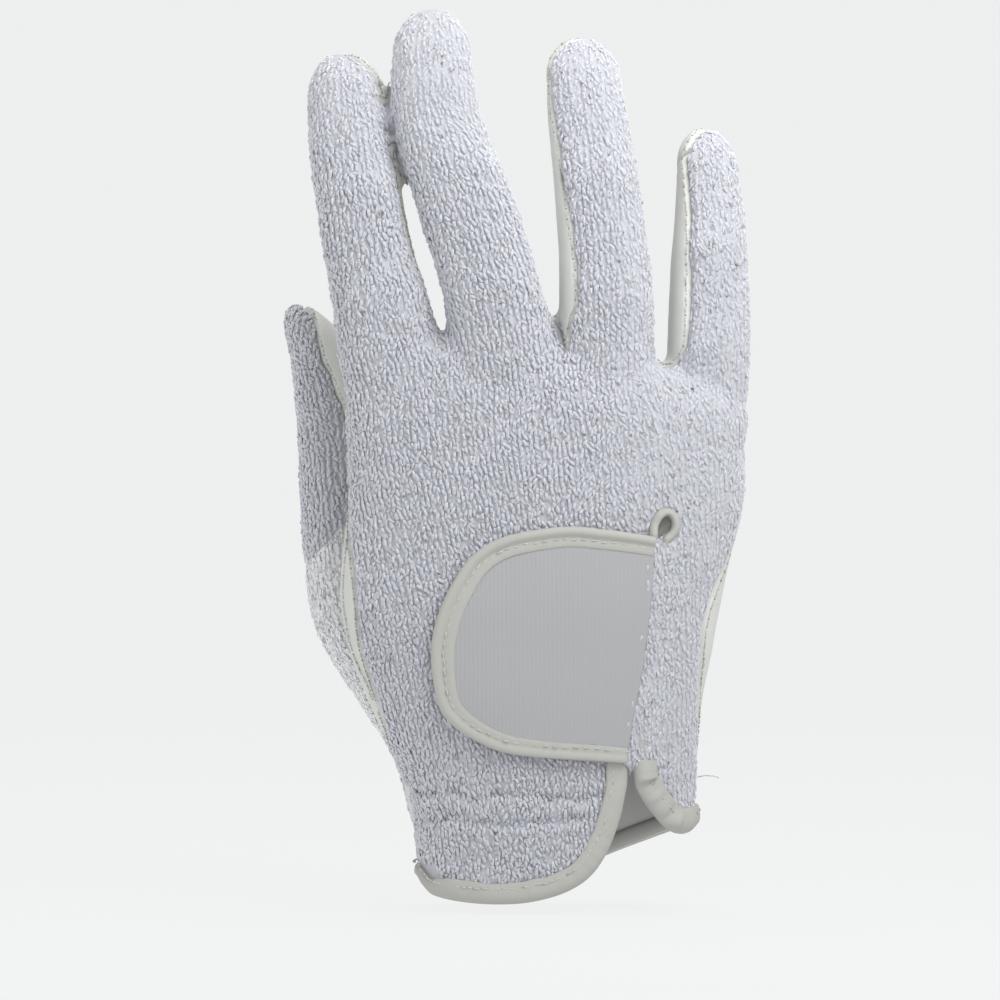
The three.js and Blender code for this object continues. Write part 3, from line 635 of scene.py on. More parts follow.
def with_distance(part, levels=(0.45, 1.0, 1.9)):
    """The part with each point's distance from its seams, and cuts along fixed distances."""
    data, triangles = part
    rim = data[np.unique(rim_edges(triangles)), :3]
    data = np.column_stack([data, distance_to(data[:, :3], rim)])
    for level in levels:
        (data, triangles), _ = split((data, triangles), data[:, 6] - level)
    return data, triangles


def raised(part, reach):
    """Places on a panel's face, tucked down over a reach along its seams."""
    data, _ = part
    tuck = np.exp(-((data[:, 6] / reach) ** 2))
    return data[:, :3] + unit(data[:, 3:6]) * (FACE_LEVEL - SEAM_TUCK * tuck)[:, None]


def wall_faces(triangles, count):
    """A wall's faces: the outer triangles, the same a count of points on, and the rim."""
    rim = rim_edges(triangles)
    quads = np.column_stack([rim[:, 1], rim[:, 0], rim[:, 0] + count, rim[:, 1] + count])
    return triangles.tolist() + (triangles[:, ::-1] + count).tolist() + quads.tolist()


def closed_wall(name, part, face):
    """A panel's face and the wall's inner face, closed along the rim."""
    data, triangles = part
    inner = data[:, :3] - unit(data[:, 3:6]) * INNER_FACE
    return make_object(name, np.concatenate([face, inner]), wall_faces(triangles, len(data)))


# The knit's own coordinates: wales run along the hand and the fingers, courses run across.
NODES, WEIGHTS = np.polynomial.legendre.leggauss(6)


def arc(angle, half_x, half_y):
    """Length round an oval from the middle of its back."""
    total = 0
    for node, weight in zip(NODES, WEIGHTS):
        turn = angle * (node + 1) / 2
        total = total + weight / 2 * np.hypot(half_x * np.cos(turn), half_y * np.sin(turn))
    return angle * total


def round_section(points, section):
    x, y, half_x, half_y = section
    angle = np.arctan2((points[..., 0] - x) / half_x, -(points[..., 1] - y) / half_y)
    return arc(angle, half_x, half_y)


def tip_course(up, length, radius):
    start = 1 - radius / length
    past = np.clip((up - start) / (1 - start), 0, 1)
    return np.minimum(up, start) * length + radius * np.arcsin(past)


def lean(x):
    """How far the wales lean to the left as they rise, less towards the little finger."""
    return 0.24 * (1 - 0.75 * smoothstep(-40, 22, x))


def palm_weave(points):
    x, z = points[..., 0], points[..., 2]
    section = palm_box(np.minimum(z, 0.8 * PALM_LENGTH))
    inside = past_section(points, section, PALM_POWER)
    on_side = smoothstep(-6, -1, inside)
    wale = x + (section[0] + round_section(points, section) - x) * on_side
    return wale + lean(x) * (z - PALM_LENGTH), z


def finger_weave(finger, points):
    z = points[..., 2]
    wale, course = palm_weave(points)
    section = finger_box(finger, z)[1:]
    root = finger["root"]
    own_wale = finger["at"] * KNUCKLE_BREADTH + round_section(points, section)
    own_up = (z - root) / finger["length"]
    own_course = root + tip_course(own_up, finger["length"], finger["tip"])
    share = smoothstep(root - 14, root + 34, z)
    return wale + (own_wale - wale) * share, course + (own_course - course) * share


def wale_ways(points, finger=None):
    """The direction in which the wales run, before it is laid on the surface."""
    x, z = points[:, 0], points[:, 2]
    slope = -lean(x)
    if finger:
        root = finger["root"]
        own = (finger_box(finger, z + 2)[1] - finger_box(finger, z - 2)[1]) / 4
        slope = slope + (own - slope) * smoothstep(root - 20, root + 14, z)
    return np.column_stack([slope, 0 * slope, 0 * slope + 1])


def thumb_weave(points):
    z = points[..., 2]
    course = tip_course(thumb_share(z), THUMB_LENGTH, THUMB_TIP)
    return round_section(points, thumb_box(z)), course


# Spacing of the terry's loops across and along. Real terry has about 1 mm between its loops, and
# this is a little coarser so that each loop shows in the render.
WALE = 1.4
COURSE = 1.12


def loop_seats(corners, normals, weave):
    """Where the knit's loops sit on triangles: place, normal and direction of the wale."""
    wale, course = weave
    q = np.stack([wale / WALE, course / COURSE], axis=-1)
    usable = (np.ptp(q[..., 0], axis=1) < 6) & (np.ptp(q[..., 1], axis=1) < 6)
    corners, normals, q = corners[usable], normals[usable], q[usable]
    e1, e2 = corners[:, 1] - corners[:, 0], corners[:, 2] - corners[:, 0]
    q1, q2 = q[:, 1] - q[:, 0], q[:, 2] - q[:, 0]
    det = q1[:, 0] * q2[:, 1] - q1[:, 1] * q2[:, 0]
    area = np.linalg.norm(np.cross(e1, e2), axis=1)
    fullness = area / np.maximum(np.abs(det) * WALE * COURSE, 1e-9)
    det = np.where(np.abs(det) < 1e-9, 1e-9, det)
    along = (-q2[:, 0, None] * e1 + q1[:, 0, None] * e2) / det[:, None]
    places, facing, ways, wales = [], [], [], []
    for between in (0.0, 0.5):  # the second turn fills in where the cloth is stretched
        low = np.ceil(q[..., 0].min(axis=1) - between)
        for i, j in np.ndindex(6, 6):
            column = low + i
            phase = lattice_value(np.column_stack([column, column * 0, column * 0]), 3)
            lowest = np.ceil(q[..., 1].min(axis=1) - phase)
            row = lowest + j + phase
            a, b = column + between - q[:, 0, 0], row - q[:, 0, 1]
            s = (a * q2[:, 1] - b * q2[:, 0]) / det
            t = (q1[:, 0] * b - q1[:, 1] * a) / det
            inside = (s >= 0) & (t >= 0) & (s + t < 1)
            chance = lattice_value(np.column_stack([column, np.floor(row), row * 0]), 5)
            inside &= chance < fullness * 1.1 - 2 * between
            s, t = s[inside, None], t[inside, None]
            places.append(corners[inside, 0] + e1[inside] * s + e2[inside] * t)
            facing.append(normals[inside, 0] * (1 - s - t) + normals[inside, 1] * s
                          + normals[inside, 2] * t)
            ways.append(along[inside])
            wales.append(column[inside])
    return [np.concatenate(values) for values in (places, facing, ways, wales)]


def eulers(forward, up):
    """Turns that take X to forward and Z to up, as XYZ angles."""
    up = unit(up)
    forward = unit(forward - up * (forward * up).sum(axis=1, keepdims=True))
    side = np.cross(up, forward)
    pitch = -np.arcsin(np.clip(forward[:, 2], -1, 1))
    yaw = np.arctan2(forward[:, 1], forward[:, 0])
    roll = np.arctan2(side[:, 2], up[:, 2])
    return np.column_stack([roll, pitch, yaw])


def node_of(tree, kind, place, links=None, **settings):
    """Adds a node. links holds the output that feeds each input, in_NAME sets an input's value."""
    made = tree.nodes.new(kind)
    made.location = place
    for key, value in settings.items():
        if key.startswith("in_"):
            made.inputs[key[3:]].default_value = value
        else:
            setattr(made, key, value)
    for key, output in (links or {}).items():
        tree.links.new(output, made.inputs[key])
    return made


def repeat_tree():
    """Puts the shape at every point of a mesh, turned and sized by the point's attributes."""
    tree = bpy.data.node_groups.new("repeat", "GeometryNodeTree")
    sockets = {}
    for title, kind in (("Points", "Geometry"), ("Shape", "Object"), ("Finish", "Material")):
        item = tree.interface.new_socket(name=title, in_out="INPUT",
                                         socket_type="NodeSocket" + kind)
        sockets[title] = item.identifier
    tree.interface.new_socket(name="Mesh", in_out="OUTPUT", socket_type="NodeSocketGeometry")
    source = node_of(tree, "NodeGroupInput", (-700, 0)).outputs
    shape = node_of(tree, "GeometryNodeObjectInfo", (-480, -160), {"Object": source["Shape"]})
    turn = node_of(tree, "GeometryNodeInputNamedAttribute", (-700, -260),
                   data_type="FLOAT_VECTOR", in_Name="turn")
    turned = node_of(tree, "FunctionNodeEulerToRotation", (-480, -300),
                     {"Euler": turn.outputs["Attribute"]})
    size = node_of(tree, "GeometryNodeInputNamedAttribute", (-480, -420),
                   data_type="FLOAT_VECTOR", in_Name="size")
    copies = node_of(tree, "GeometryNodeInstanceOnPoints", (-240, 0), {
        "Points": source["Points"], "Instance": shape.outputs["Geometry"],
        "Rotation": turned.outputs["Rotation"], "Scale": size.outputs["Attribute"],
    })
    real = node_of(tree, "GeometryNodeRealizeInstances", (-40, 0),
                   {"Geometry": copies.outputs["Instances"]})
    finishing = node_of(tree, "GeometryNodeSetMaterial", (140, 0),
                        {"Geometry": real.outputs["Geometry"], "Material": source["Finish"]})
    node_of(tree, "NodeGroupOutput", (320, 0), {"Mesh": finishing.outputs["Geometry"]})
    return tree, sockets


REPEAT, REPEAT_SOCKETS = repeat_tree()


def repeated(name, places, turns, sizes, shape, material):
    """Copies of a small shape, joined in one mesh."""
    made = make_object(name, places, [])
    for key, values in (("turn", turns), ("size", sizes)):
        layer = made.data.attributes.new(key, "FLOAT_VECTOR", "POINT")
        layer.data.foreach_set("vector", np.ascontiguousarray(values, dtype=np.float32).ravel())
    modifier = made.modifiers.new("repeat", "NODES")
    modifier.node_group = REPEAT
    modifier[REPEAT_SOCKETS["Shape"]] = shape
    modifier[REPEAT_SOCKETS["Finish"]] = material
    mesh = plain_mesh(made)
    made.modifiers.clear()
    made.data = mesh
    made.data.polygons.foreach_set("use_smooth", [True] * len(made.data.polygons))
    return made


def bent_tube(name, path, radii, sides):
    """A small closed tube along a path in the XZ plane, for copying."""
    path = np.asarray(path, float)
    ways = unit(np.gradient(path, axis=0))
    angle = 2 * math.pi * (np.arange(sides)[:, None] + 0.5) / sides
    rings = []
    for place, way, radius in zip(path, ways, radii):
        lift = np.array([-way[2], 0, way[0]])
        rings.append(place + radius * (np.cos(angle) * lift + np.sin(angle) * np.array([0, 1, 0])))
    return face_outwards(
        make_object(name, np.concatenate(rings), tube_faces(len(path), sides, turned=True))
    )


# Colours and finishes

def colour(code):
    """A colour from its sRGB code, as the shader's linear values."""
    channels = [int(code[i : i + 2], 16) / 255 for i in (1, 3, 5)]
    linear = [c / 12.92 if c <= 0.04045 else ((c + 0.055) / 1.055) ** 2.4 for c in channels]
    return (*linear, 1)


TINT_SIZE = 9  # mm across the patches of tint


def finish(name, base, roughness, sheen=0.0, grain=None, grain_depth=0.1, tint=None, soft=0.0):
    """A finish with a grain and how far light spreads in it (soft), all in mm."""
    material = bpy.data.materials.new(name)
    material.use_nodes = True
    tree = material.node_tree
    shader = tree.nodes["Principled BSDF"]
    shader.inputs["Base Color"].default_value = colour(base)
    shader.inputs["Roughness"].default_value = roughness
    shader.inputs["Specular IOR Level"].default_value = 0.3
    if sheen:
        shader.inputs["Sheen Weight"].default_value = sheen
        shader.inputs["Sheen Roughness"].default_value = 0.6
    if soft:
        shader.inputs["Subsurface Weight"].default_value = 1.0
        shader.inputs["Subsurface Radius"].default_value = (1.0, 1.0, 1.0)
        shader.inputs["Subsurface Scale"].default_value = soft * MM
    place = {"Vector": node_of(tree, "ShaderNodeTexCoord", (-900, 0)).outputs["Object"]}
    if tint:
        spots = node_of(tree, "ShaderNodeTexNoise", (-700, 200), place,
                        in_Scale=1000 / TINT_SIZE, in_Detail=2.0)
        mix = node_of(tree, "ShaderNodeMix", (-300, 200), {"Factor": spots.outputs["Fac"]},
                      data_type="RGBA", in_A=colour(base), in_B=colour(tint))
        tree.links.new(mix.outputs["Result"], shader.inputs["Base Color"])
    if grain:
        texture = node_of(tree, "ShaderNodeTexNoise", (-700, -200), place,
                          in_Scale=1000 / grain, in_Detail=3.0)
        bump = node_of(tree, "ShaderNodeBump", (-300, -200), {"Height": texture.outputs["Fac"]},
                       in_Distance=grain_depth * MM)
        tree.links.new(bump.outputs["Normal"], shader.inputs["Normal"])
    return material


# Terry loops of spun cotton: a bluish white with no shine, a little fuzz at the edges and light
# that passes softly through each loop.
YARN = finish("looped cotton yarn", "#C3C4CB", 0.95, sheen=0.1, grain=0.5, grain_depth=0.08,
              tint="#B9BBC2", soft=0.6)
# The knitted ground under the loops: the same white yarn, a little darker as painted shade between
# the loops.
BACKING_WITH_PAINTED_SHADE = finish("knitted cotton backing", "#B7B8BF", 0.95, grain=1.2, grain_depth=0.6)
# Coated leather substitute, pressed with a fine grain: a warm white with a broad, dull shine.
LEATHER = finish("smooth synthetic leather", "#CBCCC8", 0.5, grain=0.35, grain_depth=0.03)
# A knit brushed until its loops lie flat: the softest of the cloths, and the lightest, partly its
# own paler colour and partly painted light where the ball of the thumb is lit.
BRUSHED = finish("brushed cotton knit", "#DADBDE", 0.95, sheen=0.1, grain=0.9, grain_depth=0.3,
                 soft=0.6)
# Woven elastic: a neutral grey, its ribs just catching the light.
RIBBED = finish("fine ribbed fabric", "#9FA0A2", 0.85, grain=0.4, grain_depth=0.04)
# Coated tape folded over the edges: a warm grey with a faint shine along its roll.
TAPE = finish("folded binding tape", "#AAAAA5", 0.7, grain=0.45, grain_depth=0.05)
# Sewing thread, and painted shade: small dark shapes for the shadows where the needle went in.
THREAD = finish("sewing thread", "#BEBEB8", 0.8)
SHADE = finish("needle holes in shade", "#9A9A93", 0.95)


def finished(made, material, slot, *nodes):
    """Gives a piece its material, puts it under the root body and hides the CAD nodes it stands
    for; the slot is not used.
    """
    if not made.data.materials:
        made.data.materials.append(material)
    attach(made, "root")
    if nodes:
        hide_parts(*nodes)


# The panels

GUSSET_X, GUSSET_Z, GUSSET_SLOPE = -47.5, 89.8, 1.01  # a place on its upper edge, and the slope


def gusset_field(points):
    """Positive on the thumb's terry, negative on the brushed gusset below it."""
    x, z = points[:, 0], points[:, 2]
    edge = GUSSET_Z + GUSSET_SLOPE * (x - GUSSET_X)
    return z - np.where(x > -50, edge + 0.12 * (x + 50) ** 2, edge)


def own_share(points):
    """How far up its finger each place is, as a share of the finger's length."""
    owner = nearest_finger(points)
    root = np.array([finger["root"] for finger in FINGERS])[owner]
    return (points[:, 2] - root) / np.array([finger["length"] for finger in FINGERS])[owner]


TIP_LOSS = 1.7  # how far smoothing draws a tip in


def full_length(points):
    """The skin with its tips at their full length."""
    on_thumb = smoothstep(0, 4, thumb_field(points))
    points = points.copy()
    points[:, 2] += TIP_LOSS * (smoothstep(0.6, 1, own_share(points)) * (1 - on_thumb)
                                + smoothstep(0.6, 1, thumb_share(points[:, 2])) * on_thumb)
    return points


skin_points, skin_triangles = hand_skin()
skin_points = full_length(skin_points)
skin = (np.column_stack([skin_points, vertex_normals(skin_points, skin_triangles)]), skin_triangles)
skin, _ = parted(skin, hem_field)
thumb_part, hand_part = parted(skin, thumb_field)
thumb_smooth, thumb_knit = parted(thumb_part, thumb_seam_field)
thumb_terry, thumb_gusset = parted(thumb_knit, gusset_field)
back_terry, hand_smooth = parted(hand_part, terry_field)
palm_smooth, side_walls = parted(hand_smooth, side_wall_field)


def smooth_panel(name, part, material, *nodes):
    part = with_distance(part)
    face = raised(part, 0.7)
    normals = unit(part[0][:, 3:6])
    face += normals * (0.12 * noise(face, 7, 1) + 0.05 * noise(face, 2.5, 2))[:, None]
    finished(closed_wall(name, part, face), material, "leather", *nodes)


smooth_panel("palm_leather", palm_smooth, LEATHER, "palm_panel")
smooth_panel("finger_side_walls", side_walls, LEATHER, "fourchette_index_middle",
             "fourchette_middle_ring", "fourchette_ring_little")
smooth_panel("thumb_leather", thumb_smooth, LEATHER, "thumb_front")


def lifted_edge(points):
    """How far the terry right of the slit is lifted over the tab's end, from 0 to 1."""
    z = points[:, 2]
    slit_x = np.interp(z, slit_line[:, 1], slit_line[:, 0])
    past = points[:, 0] - slit_x
    over = smoothstep(29, 33, z) * (1 - smoothstep(82, 86, z)) * (points[:, 1] < 0)
    return over * (past > 0) * np.exp(-((np.maximum(past, 0) / 5) ** 2))


GATHERS, GATHER_DEPTH = (24.8, 18.8), 1.5  # two rows of elastic stitched across the wrist
KNUCKLES = ((0.13, 0.9), (0.53, 0.8))  # how far up each finger, as a share, and how high
KNUCKLE_REACH = 0.09
TAB_LIFT = 3.0  # how far the terry stands up over the tab's end


def gathered(points):
    """How far the elastic draws the cloth in."""
    drawn = 0
    for level in GATHERS:
        away = (points[:, 2] - level - 1.3 * noise(points, 6, 8) - 0.5 * noise(points, 2, 7)) / 1.2
        drawn = drawn + np.exp(-away * away) * (0.7 + 0.6 * noise(points, 3.2, 9))
    return GATHER_DEPTH * drawn * (points[:, 1] < 2) * (points[:, 0] < 16)


def knuckles(points, normals):
    """How far the cloth stands up over the knuckles of each finger."""
    up = own_share(points)
    swell = sum(high * np.exp(-(((up - at) / KNUCKLE_REACH) ** 2)) for at, high in KNUCKLES)
    return swell * smoothstep(0.2, 0.9, -normals[:, 1]) * (points[:, 0] > -48)


def terry_face(part):
    data, _ = part
    rest, seam, normals = data[:, :3], data[:, 6:7], unit(data[:, 3:6])
    face = raised(part, 1.1)
    face -= normals * gathered(rest)[:, None]
    face += normals * knuckles(rest, normals)[:, None]
    face += normals * (0.22 * noise(face, 9, 4) + 0.12 * noise(face, 4, 5))[:, None]
    lift = lifted_edge(rest)[:, None]
    on_thumb = thumb_field(rest) > -0.5
    by_gusset = np.exp(-((gusset_field(rest) / 2) ** 2)) * on_thumb
    flat_edge = np.maximum(lift, 0.8 * by_gusset[:, None])
    untucked = SEAM_TUCK * np.exp(-((seam / 1.1) ** 2)) * flat_edge
    z = rest[:, 2:]
    lap = 2.2 + 1.3 * (1 - smoothstep(36, 46, z)) + 0.6 * smoothstep(70, 80, z)
    return face + normals * (untucked + TAB_LIFT * lift) - np.array([1, 0, 0]) * lap * lift


def gusset_relief(part):
    """The gusset's face, which isn't tucked down where it meets the terry."""
    data, _ = part
    normals = unit(data[:, 3:6])
    by_terry = np.exp(-((gusset_field(data[:, :3]) / 2) ** 2))[:, None]
    face = raised(part, 0.9)
    face += normals * by_terry * 0.9 * np.exp(-((data[:, 6:7] / 0.9) ** 2))
    return face + normals * (0.25 * noise(face, 8, 14) + 0.1 * noise(face, 3, 15))[:, None]


back_terry = with_distance(back_terry)
thumb_terry = with_distance(thumb_terry)
thumb_gusset = with_distance(thumb_gusset)
back_face = terry_face(back_terry)
thumb_face = terry_face(thumb_terry)
gusset_face = gusset_relief(thumb_gusset)
finished(closed_wall("terry_backing", back_terry, back_face), BACKING_WITH_PAINTED_SHADE, "terry", "back_panel")
finished(closed_wall("thumb_terry_backing", thumb_terry, thumb_face), BACKING_WITH_PAINTED_SHADE, "terry",
         "thumb_back")
finished(closed_wall("thumb_gusset", thumb_gusset, gusset_face), BRUSHED, "terry")

LOOP = bent_tube(
    "loop", [(-1.15, 0, -0.2), (-0.45, 0, 0.44), (0.5, 0, 0.44), (1.2, 0, -0.15)],
    [0.26, 0.47, 0.47, 0.24], 4,
)


def knit_loops(name, corners, normals, weave, directions=None, material=YARN, flat=1.0):
    """Loops of yarn over triangles, one at each crossing of a wale and a course."""
    places, facing, ways, wales = loop_seats(corners, normals, weave)
    facing = unit(facing)
    if directions:
        ways = directions(places)
        ways = ways - facing * (ways * facing).sum(axis=1, keepdims=True)
    ways = unit(ways)
    sides = np.cross(facing, ways)
    count = len(places)
    swing = 0.32 * noise(places, 2.2, 11) + 0.14 * noise(places, 11, 12)
    swing += RANDOM.normal(0, 0.25, count) + 0.12 * (wales % 2 * 2 - 1)
    forward = ways * np.cos(swing)[:, None] + sides * np.sin(swing)[:, None]
    tip = RANDOM.normal(0, 0.2, (count, 3))
    size = RANDOM.uniform(0.85, 1.12, (count, 3))
    size[:, 2] *= 1 + 0.3 * (RANDOM.uniform(size=count) > 0.9)
    worn = np.maximum(smoothstep(160, 205, places[:, 2]), 0.7 * smoothstep(8, 22, places[:, 0]))
    size[:, 2] *= (1 - 0.35 * worn) * flat
    places = places + sides * RANDOM.normal(0, 0.2, count)[:, None]
    places += ways * RANDOM.normal(0, 0.25, count)[:, None]
    places -= facing * (RANDOM.uniform(0.12, 0.34, count) + 0.14 * worn)[:, None]
    finished(repeated(name, places, eulers(forward, facing + tip), size, LOOP, material),
             material, "terry")


def softened(line, times):
    line = line.copy()
    for _ in range(times):
        line[1:-1] = (line[:-2] + 2 * line[1:-1] + line[2:]) / 4
    return line


def seam_lines(part, spacing, least=8.0):
    """Evenly spaced places along a part's rim, away from the hem: place, normal and direction.

    The part lies to the left of each direction.
    """
    data, triangles = part
    following = {a: b for a, b in rim_edges(triangles).tolist()}
    lines = []
    while following:
        start = next(iter(following))
        line = [start]
        while line[-1] in following:
            line.append(following.pop(line[-1]))
        lines.append(line)
    found = []
    for line in lines:
        rows = data[line][:, :6]
        steps = np.linalg.norm(np.diff(rows[:, :3], axis=0), axis=1)
        length = steps.sum()
        if length < least:
            continue
        rows = evenly(rows, int(length / 0.8) + 2)
        rows[:, :3] = softened(rows[:, :3], 8)
        rows = evenly(rows, int(length / spacing) + 1)
        ways = unit(np.gradient(rows[:, :3], axis=0))
        clear = hem_field(rows[:, :3]) > 5.5
        found.append((rows[clear, :3], unit(rows[clear, 3:6]), ways[clear]))
    return [np.concatenate(values) for values in zip(*found)]


STITCH = bent_tube("stitch", [(-0.8, 0, -0.3), (-0.45, 0, 0.1), (0.45, 0, 0.1), (0.8, 0, -0.3)],
                   [0.1, 0.17, 0.17, 0.1], 5)
# A needle hole, drawn as a small shape in the dark finish: painted shade, not a real hole.
HOLE_SHADE = bent_tube("hole", [(-0.42, 0, 0), (-0.2, 0, 0), (0.2, 0, 0), (0.42, 0, 0)],
                 [0.05, 0.26, 0.26, 0.05], 6)


def stitched(name, part, spacing, into, off, keep=None):
    """A row of stitches beside a part's seam, off the part, with small dark shapes of painted shade
    for their needle holes.
    """
    places, normals, ways = seam_lines(part, spacing)
    beside = np.cross(ways, normals)
    places = places + beside * into + normals * off
    if keep is not None:
        chosen = keep(places)
        places, normals, ways = places[chosen], normals[chosen], ways[chosen]
    places = places + RANDOM.normal(0, 0.08, places.shape)
    size = RANDOM.uniform(0.85, 1.1, (len(places), 3))
    finished(repeated(name, places, eulers(ways, normals), size, STITCH, THREAD),
             THREAD, "leather")
    between_them = places + ways * spacing / 2
    size *= RANDOM.uniform(0.5, 1.1, size.shape)
    finished(repeated(name + "_holes", between_them, eulers(ways, normals), size, HOLE_SHADE, SHADE),
             SHADE, "leather")


SEAM_CLEAR, TAPE_CLEAR = 0.25, 4.3  # no loops this close to a seam or to the hem's edge
FLAP_TAPE_TOP, OUTER_TAPE_TOP, EYE_FOOT = 36, 30.5, 84  # heights along the slit
WRIST_TOP, FINGERS_FROM = 50, 100  # heights where one piece of the terry's loops meets the next


def loops_of_back():
    data, triangles = back_terry
    normals = vertex_normals(back_face, triangles)
    rest = data[:, :3]
    distance = data[:, 6][triangles].mean(axis=1)
    centre = rest[triangles].mean(axis=1)
    binding = hem_field(centre)
    by_eye = (centre[:, 2] > EYE_FOOT) & (binding < 1.9)
    on_flap = centre[:, 0] < np.interp(centre[:, 2], slit_line[:, 1], slit_line[:, 0])
    tape_top = np.where(on_flap, FLAP_TAPE_TOP, OUTER_TAPE_TOP)
    above_hem = (binding > TAPE_CLEAR) | (centre[:, 2] > tape_top)
    lapped = lifted_edge(centre) > 0.3
    open_terry = ((distance > SEAM_CLEAR) | lapped) & above_hem & ~by_eye
    owner = nearest_finger(centre)
    low = centre[:, 2] < FINGERS_FROM
    on_wrist = centre[:, 2] < WRIST_TOP
    for name, fingers in (("index_and_middle_loops", (0, 1)), ("ring_and_little_loops", (2, 3))):
        sets = []
        for number in fingers:
            chosen = open_terry & ~low & (owner == number)
            t = triangles[chosen]
            sets.append((back_face[t], normals[t], finger_weave(FINGERS[number], rest[t])))
        corners, facing = (np.concatenate([item[k] for item in sets]) for k in range(2))
        weave = [np.concatenate([item[2][k] for item in sets]) for k in range(2)]

        def directions(places, fingers=fingers):
            owner = nearest_finger(places)
            found = [wale_ways(places, FINGERS[number]) for number in fingers]
            return np.where((owner == fingers[0])[:, None], *found)

        knit_loops(name, corners, facing, weave, directions)
    for name, half in (("wrist_loops", on_wrist), ("palm_loops", ~on_wrist)):
        t = triangles[open_terry & low & half]
        knit_loops(name, back_face[t], normals[t], palm_weave(rest[t]), wale_ways)
    # One more row goes down the thick edge that laps over the tab's end.
    rim = rim_edges(triangles)
    rim = rim[lifted_edge(rest[rim[:, 0]]) > 0.3]
    down = -1.7 * unit(data[rim[:, 0], 3:6])
    a, b = back_face[rim[:, 0]], back_face[rim[:, 1]]
    corners = np.concatenate([np.stack([a, a + down, b + down], axis=1),
                              np.stack([a, b + down, b], axis=1)])
    away = np.broadcast_to([-1.0, -0.2, 0.0], corners.shape)
    depth = np.array([[0.2, 2.4, 2.4], [0.2, 2.4, 0.2]]).repeat(len(rim), axis=0)
    knit_loops("lapped_edge_loops", corners, away, (depth, corners[..., 2]))


def loops_of_thumb():
    for name, (data, triangles), face, material, flat in (
        ("thumb_loops", thumb_terry, thumb_face, YARN, 1.0),
        ("gusset_loops", thumb_gusset, gusset_face, BRUSHED, 0.5),
    ):
        normals = vertex_normals(face, triangles)
        t = triangles[data[:, 6][triangles].mean(axis=1) > SEAM_CLEAR]
        knit_loops(name, face[t], normals[t], thumb_weave(data[:, :3][t]), None, material, flat)


loops_of_back()
loops_of_thumb()
stitched("back_seam_stitches", back_terry, 2.5, 0.95, -0.62)
stitched("thumb_seam_stitches", thumb_terry, 2.6, 0.9, -0.7)
stitched("gusset_stitches", thumb_gusset, 2.2, 1.1, -0.6, lambda at: at[:, 2] < 85)


# Bindings and the tab, swept over the back of the palm

def on_palm(points):
    """The nearest places on the palm's surface, and the surface's normals there."""
    def out_of_palm(at):
        return power_sum(at, palm_box(at[..., 2]), PALM_POWER)

    x, y, _, _ = palm_box(points[..., 2])
    out = out_of_palm(points) ** (1 / PALM_POWER)
    foot = points.copy()
    foot[..., 0] = x + (points[..., 0] - x) / out
    foot[..., 1] = y + (points[..., 1] - y) / out
    steps = np.eye(3) * 0.4
    slope = [out_of_palm(foot + step) - out_of_palm(foot - step) for step in steps]
    return foot, unit(np.stack(slope, axis=-1))


def from_plan(plan, back=True):
    """Places on the palm's surface from X and Z in the plan."""
    plan = np.asarray(plan, float)
    x, y, half_x, half_y = palm_box(plan[..., 1])
    u = np.clip(np.abs(plan[..., 0] - x) / half_x, 0, 1)
    deep = half_y * (1 - u**PALM_POWER) ** (1 / PALM_POWER)
    return np.stack([plan[..., 0], y - deep if back else y + deep, plan[..., 1]], axis=-1)


def tape_stitches(name, path, into, off, spacing, chosen, holes=True):
    """Stitches along a tape, so far in from its edge and so high off the palm."""
    line = evenly(path, int(np.linalg.norm(np.diff(path, axis=0), axis=1).sum() / spacing))
    ways = unit(np.gradient(line, axis=0))
    _, normals = on_palm(line)
    foot, normals = on_palm(line + unit(np.cross(ways, normals)) * into)
    foot = foot + normals * off + RANDOM.normal(0, 0.1, foot.shape)
    keep = chosen(foot)
    size = RANDOM.uniform(0.8, 1.1, (keep.sum(), 3))
    turns = eulers(ways[keep], normals[keep])
    finished(repeated(name, foot[keep], turns, size, STITCH, THREAD), THREAD, "binding_tape")
    # The needle holes are small dark shapes of painted shade.
    if holes:
        finished(repeated(name + "_holes", foot[keep] + ways[keep] * spacing / 2, turns,
                          size * RANDOM.uniform(0.4, 1, size.shape), HOLE_SHADE, SHADE),
                 SHADE, "binding_tape")


def swept_binding(name, path, profile, node):
    """A folded tape along a path on the palm, for a CAD node.

    profile(path, shares) gives rows of how far into the cloth and off it each line of it lies.
    """
    _, normals = on_palm(path)
    inward = unit(np.cross(unit(np.gradient(path, axis=0)), normals))
    lines = []
    for into, off in profile(path, np.linspace(0, 1, len(path))):
        foot, normal = on_palm(path + inward * np.reshape(into, (-1, 1)))
        lines.append(foot + normal * np.reshape(off, (-1, 1)))
    points = np.stack(lines, axis=1)
    made = make_object(name, points.reshape(-1, 3), tube_faces(len(path), len(lines)))
    finished(face_outwards(made), TAPE, "binding_tape", node)


HEM_WIDTH = 4.8
hem_path = np.concatenate([
    from_plan(spline(np.concatenate([flap_line, [(17.4, 30.5), (17.5, 33.0)]]), 1600)[::-1]),
    from_plan(spline(palm_hem_line, 1500), back=False),
    from_plan(spline(outer_line, 700)[::-1]),
    from_plan(slit_foot + half_slit),
])
hem_path = softened(evenly(hem_path, 640), 12)


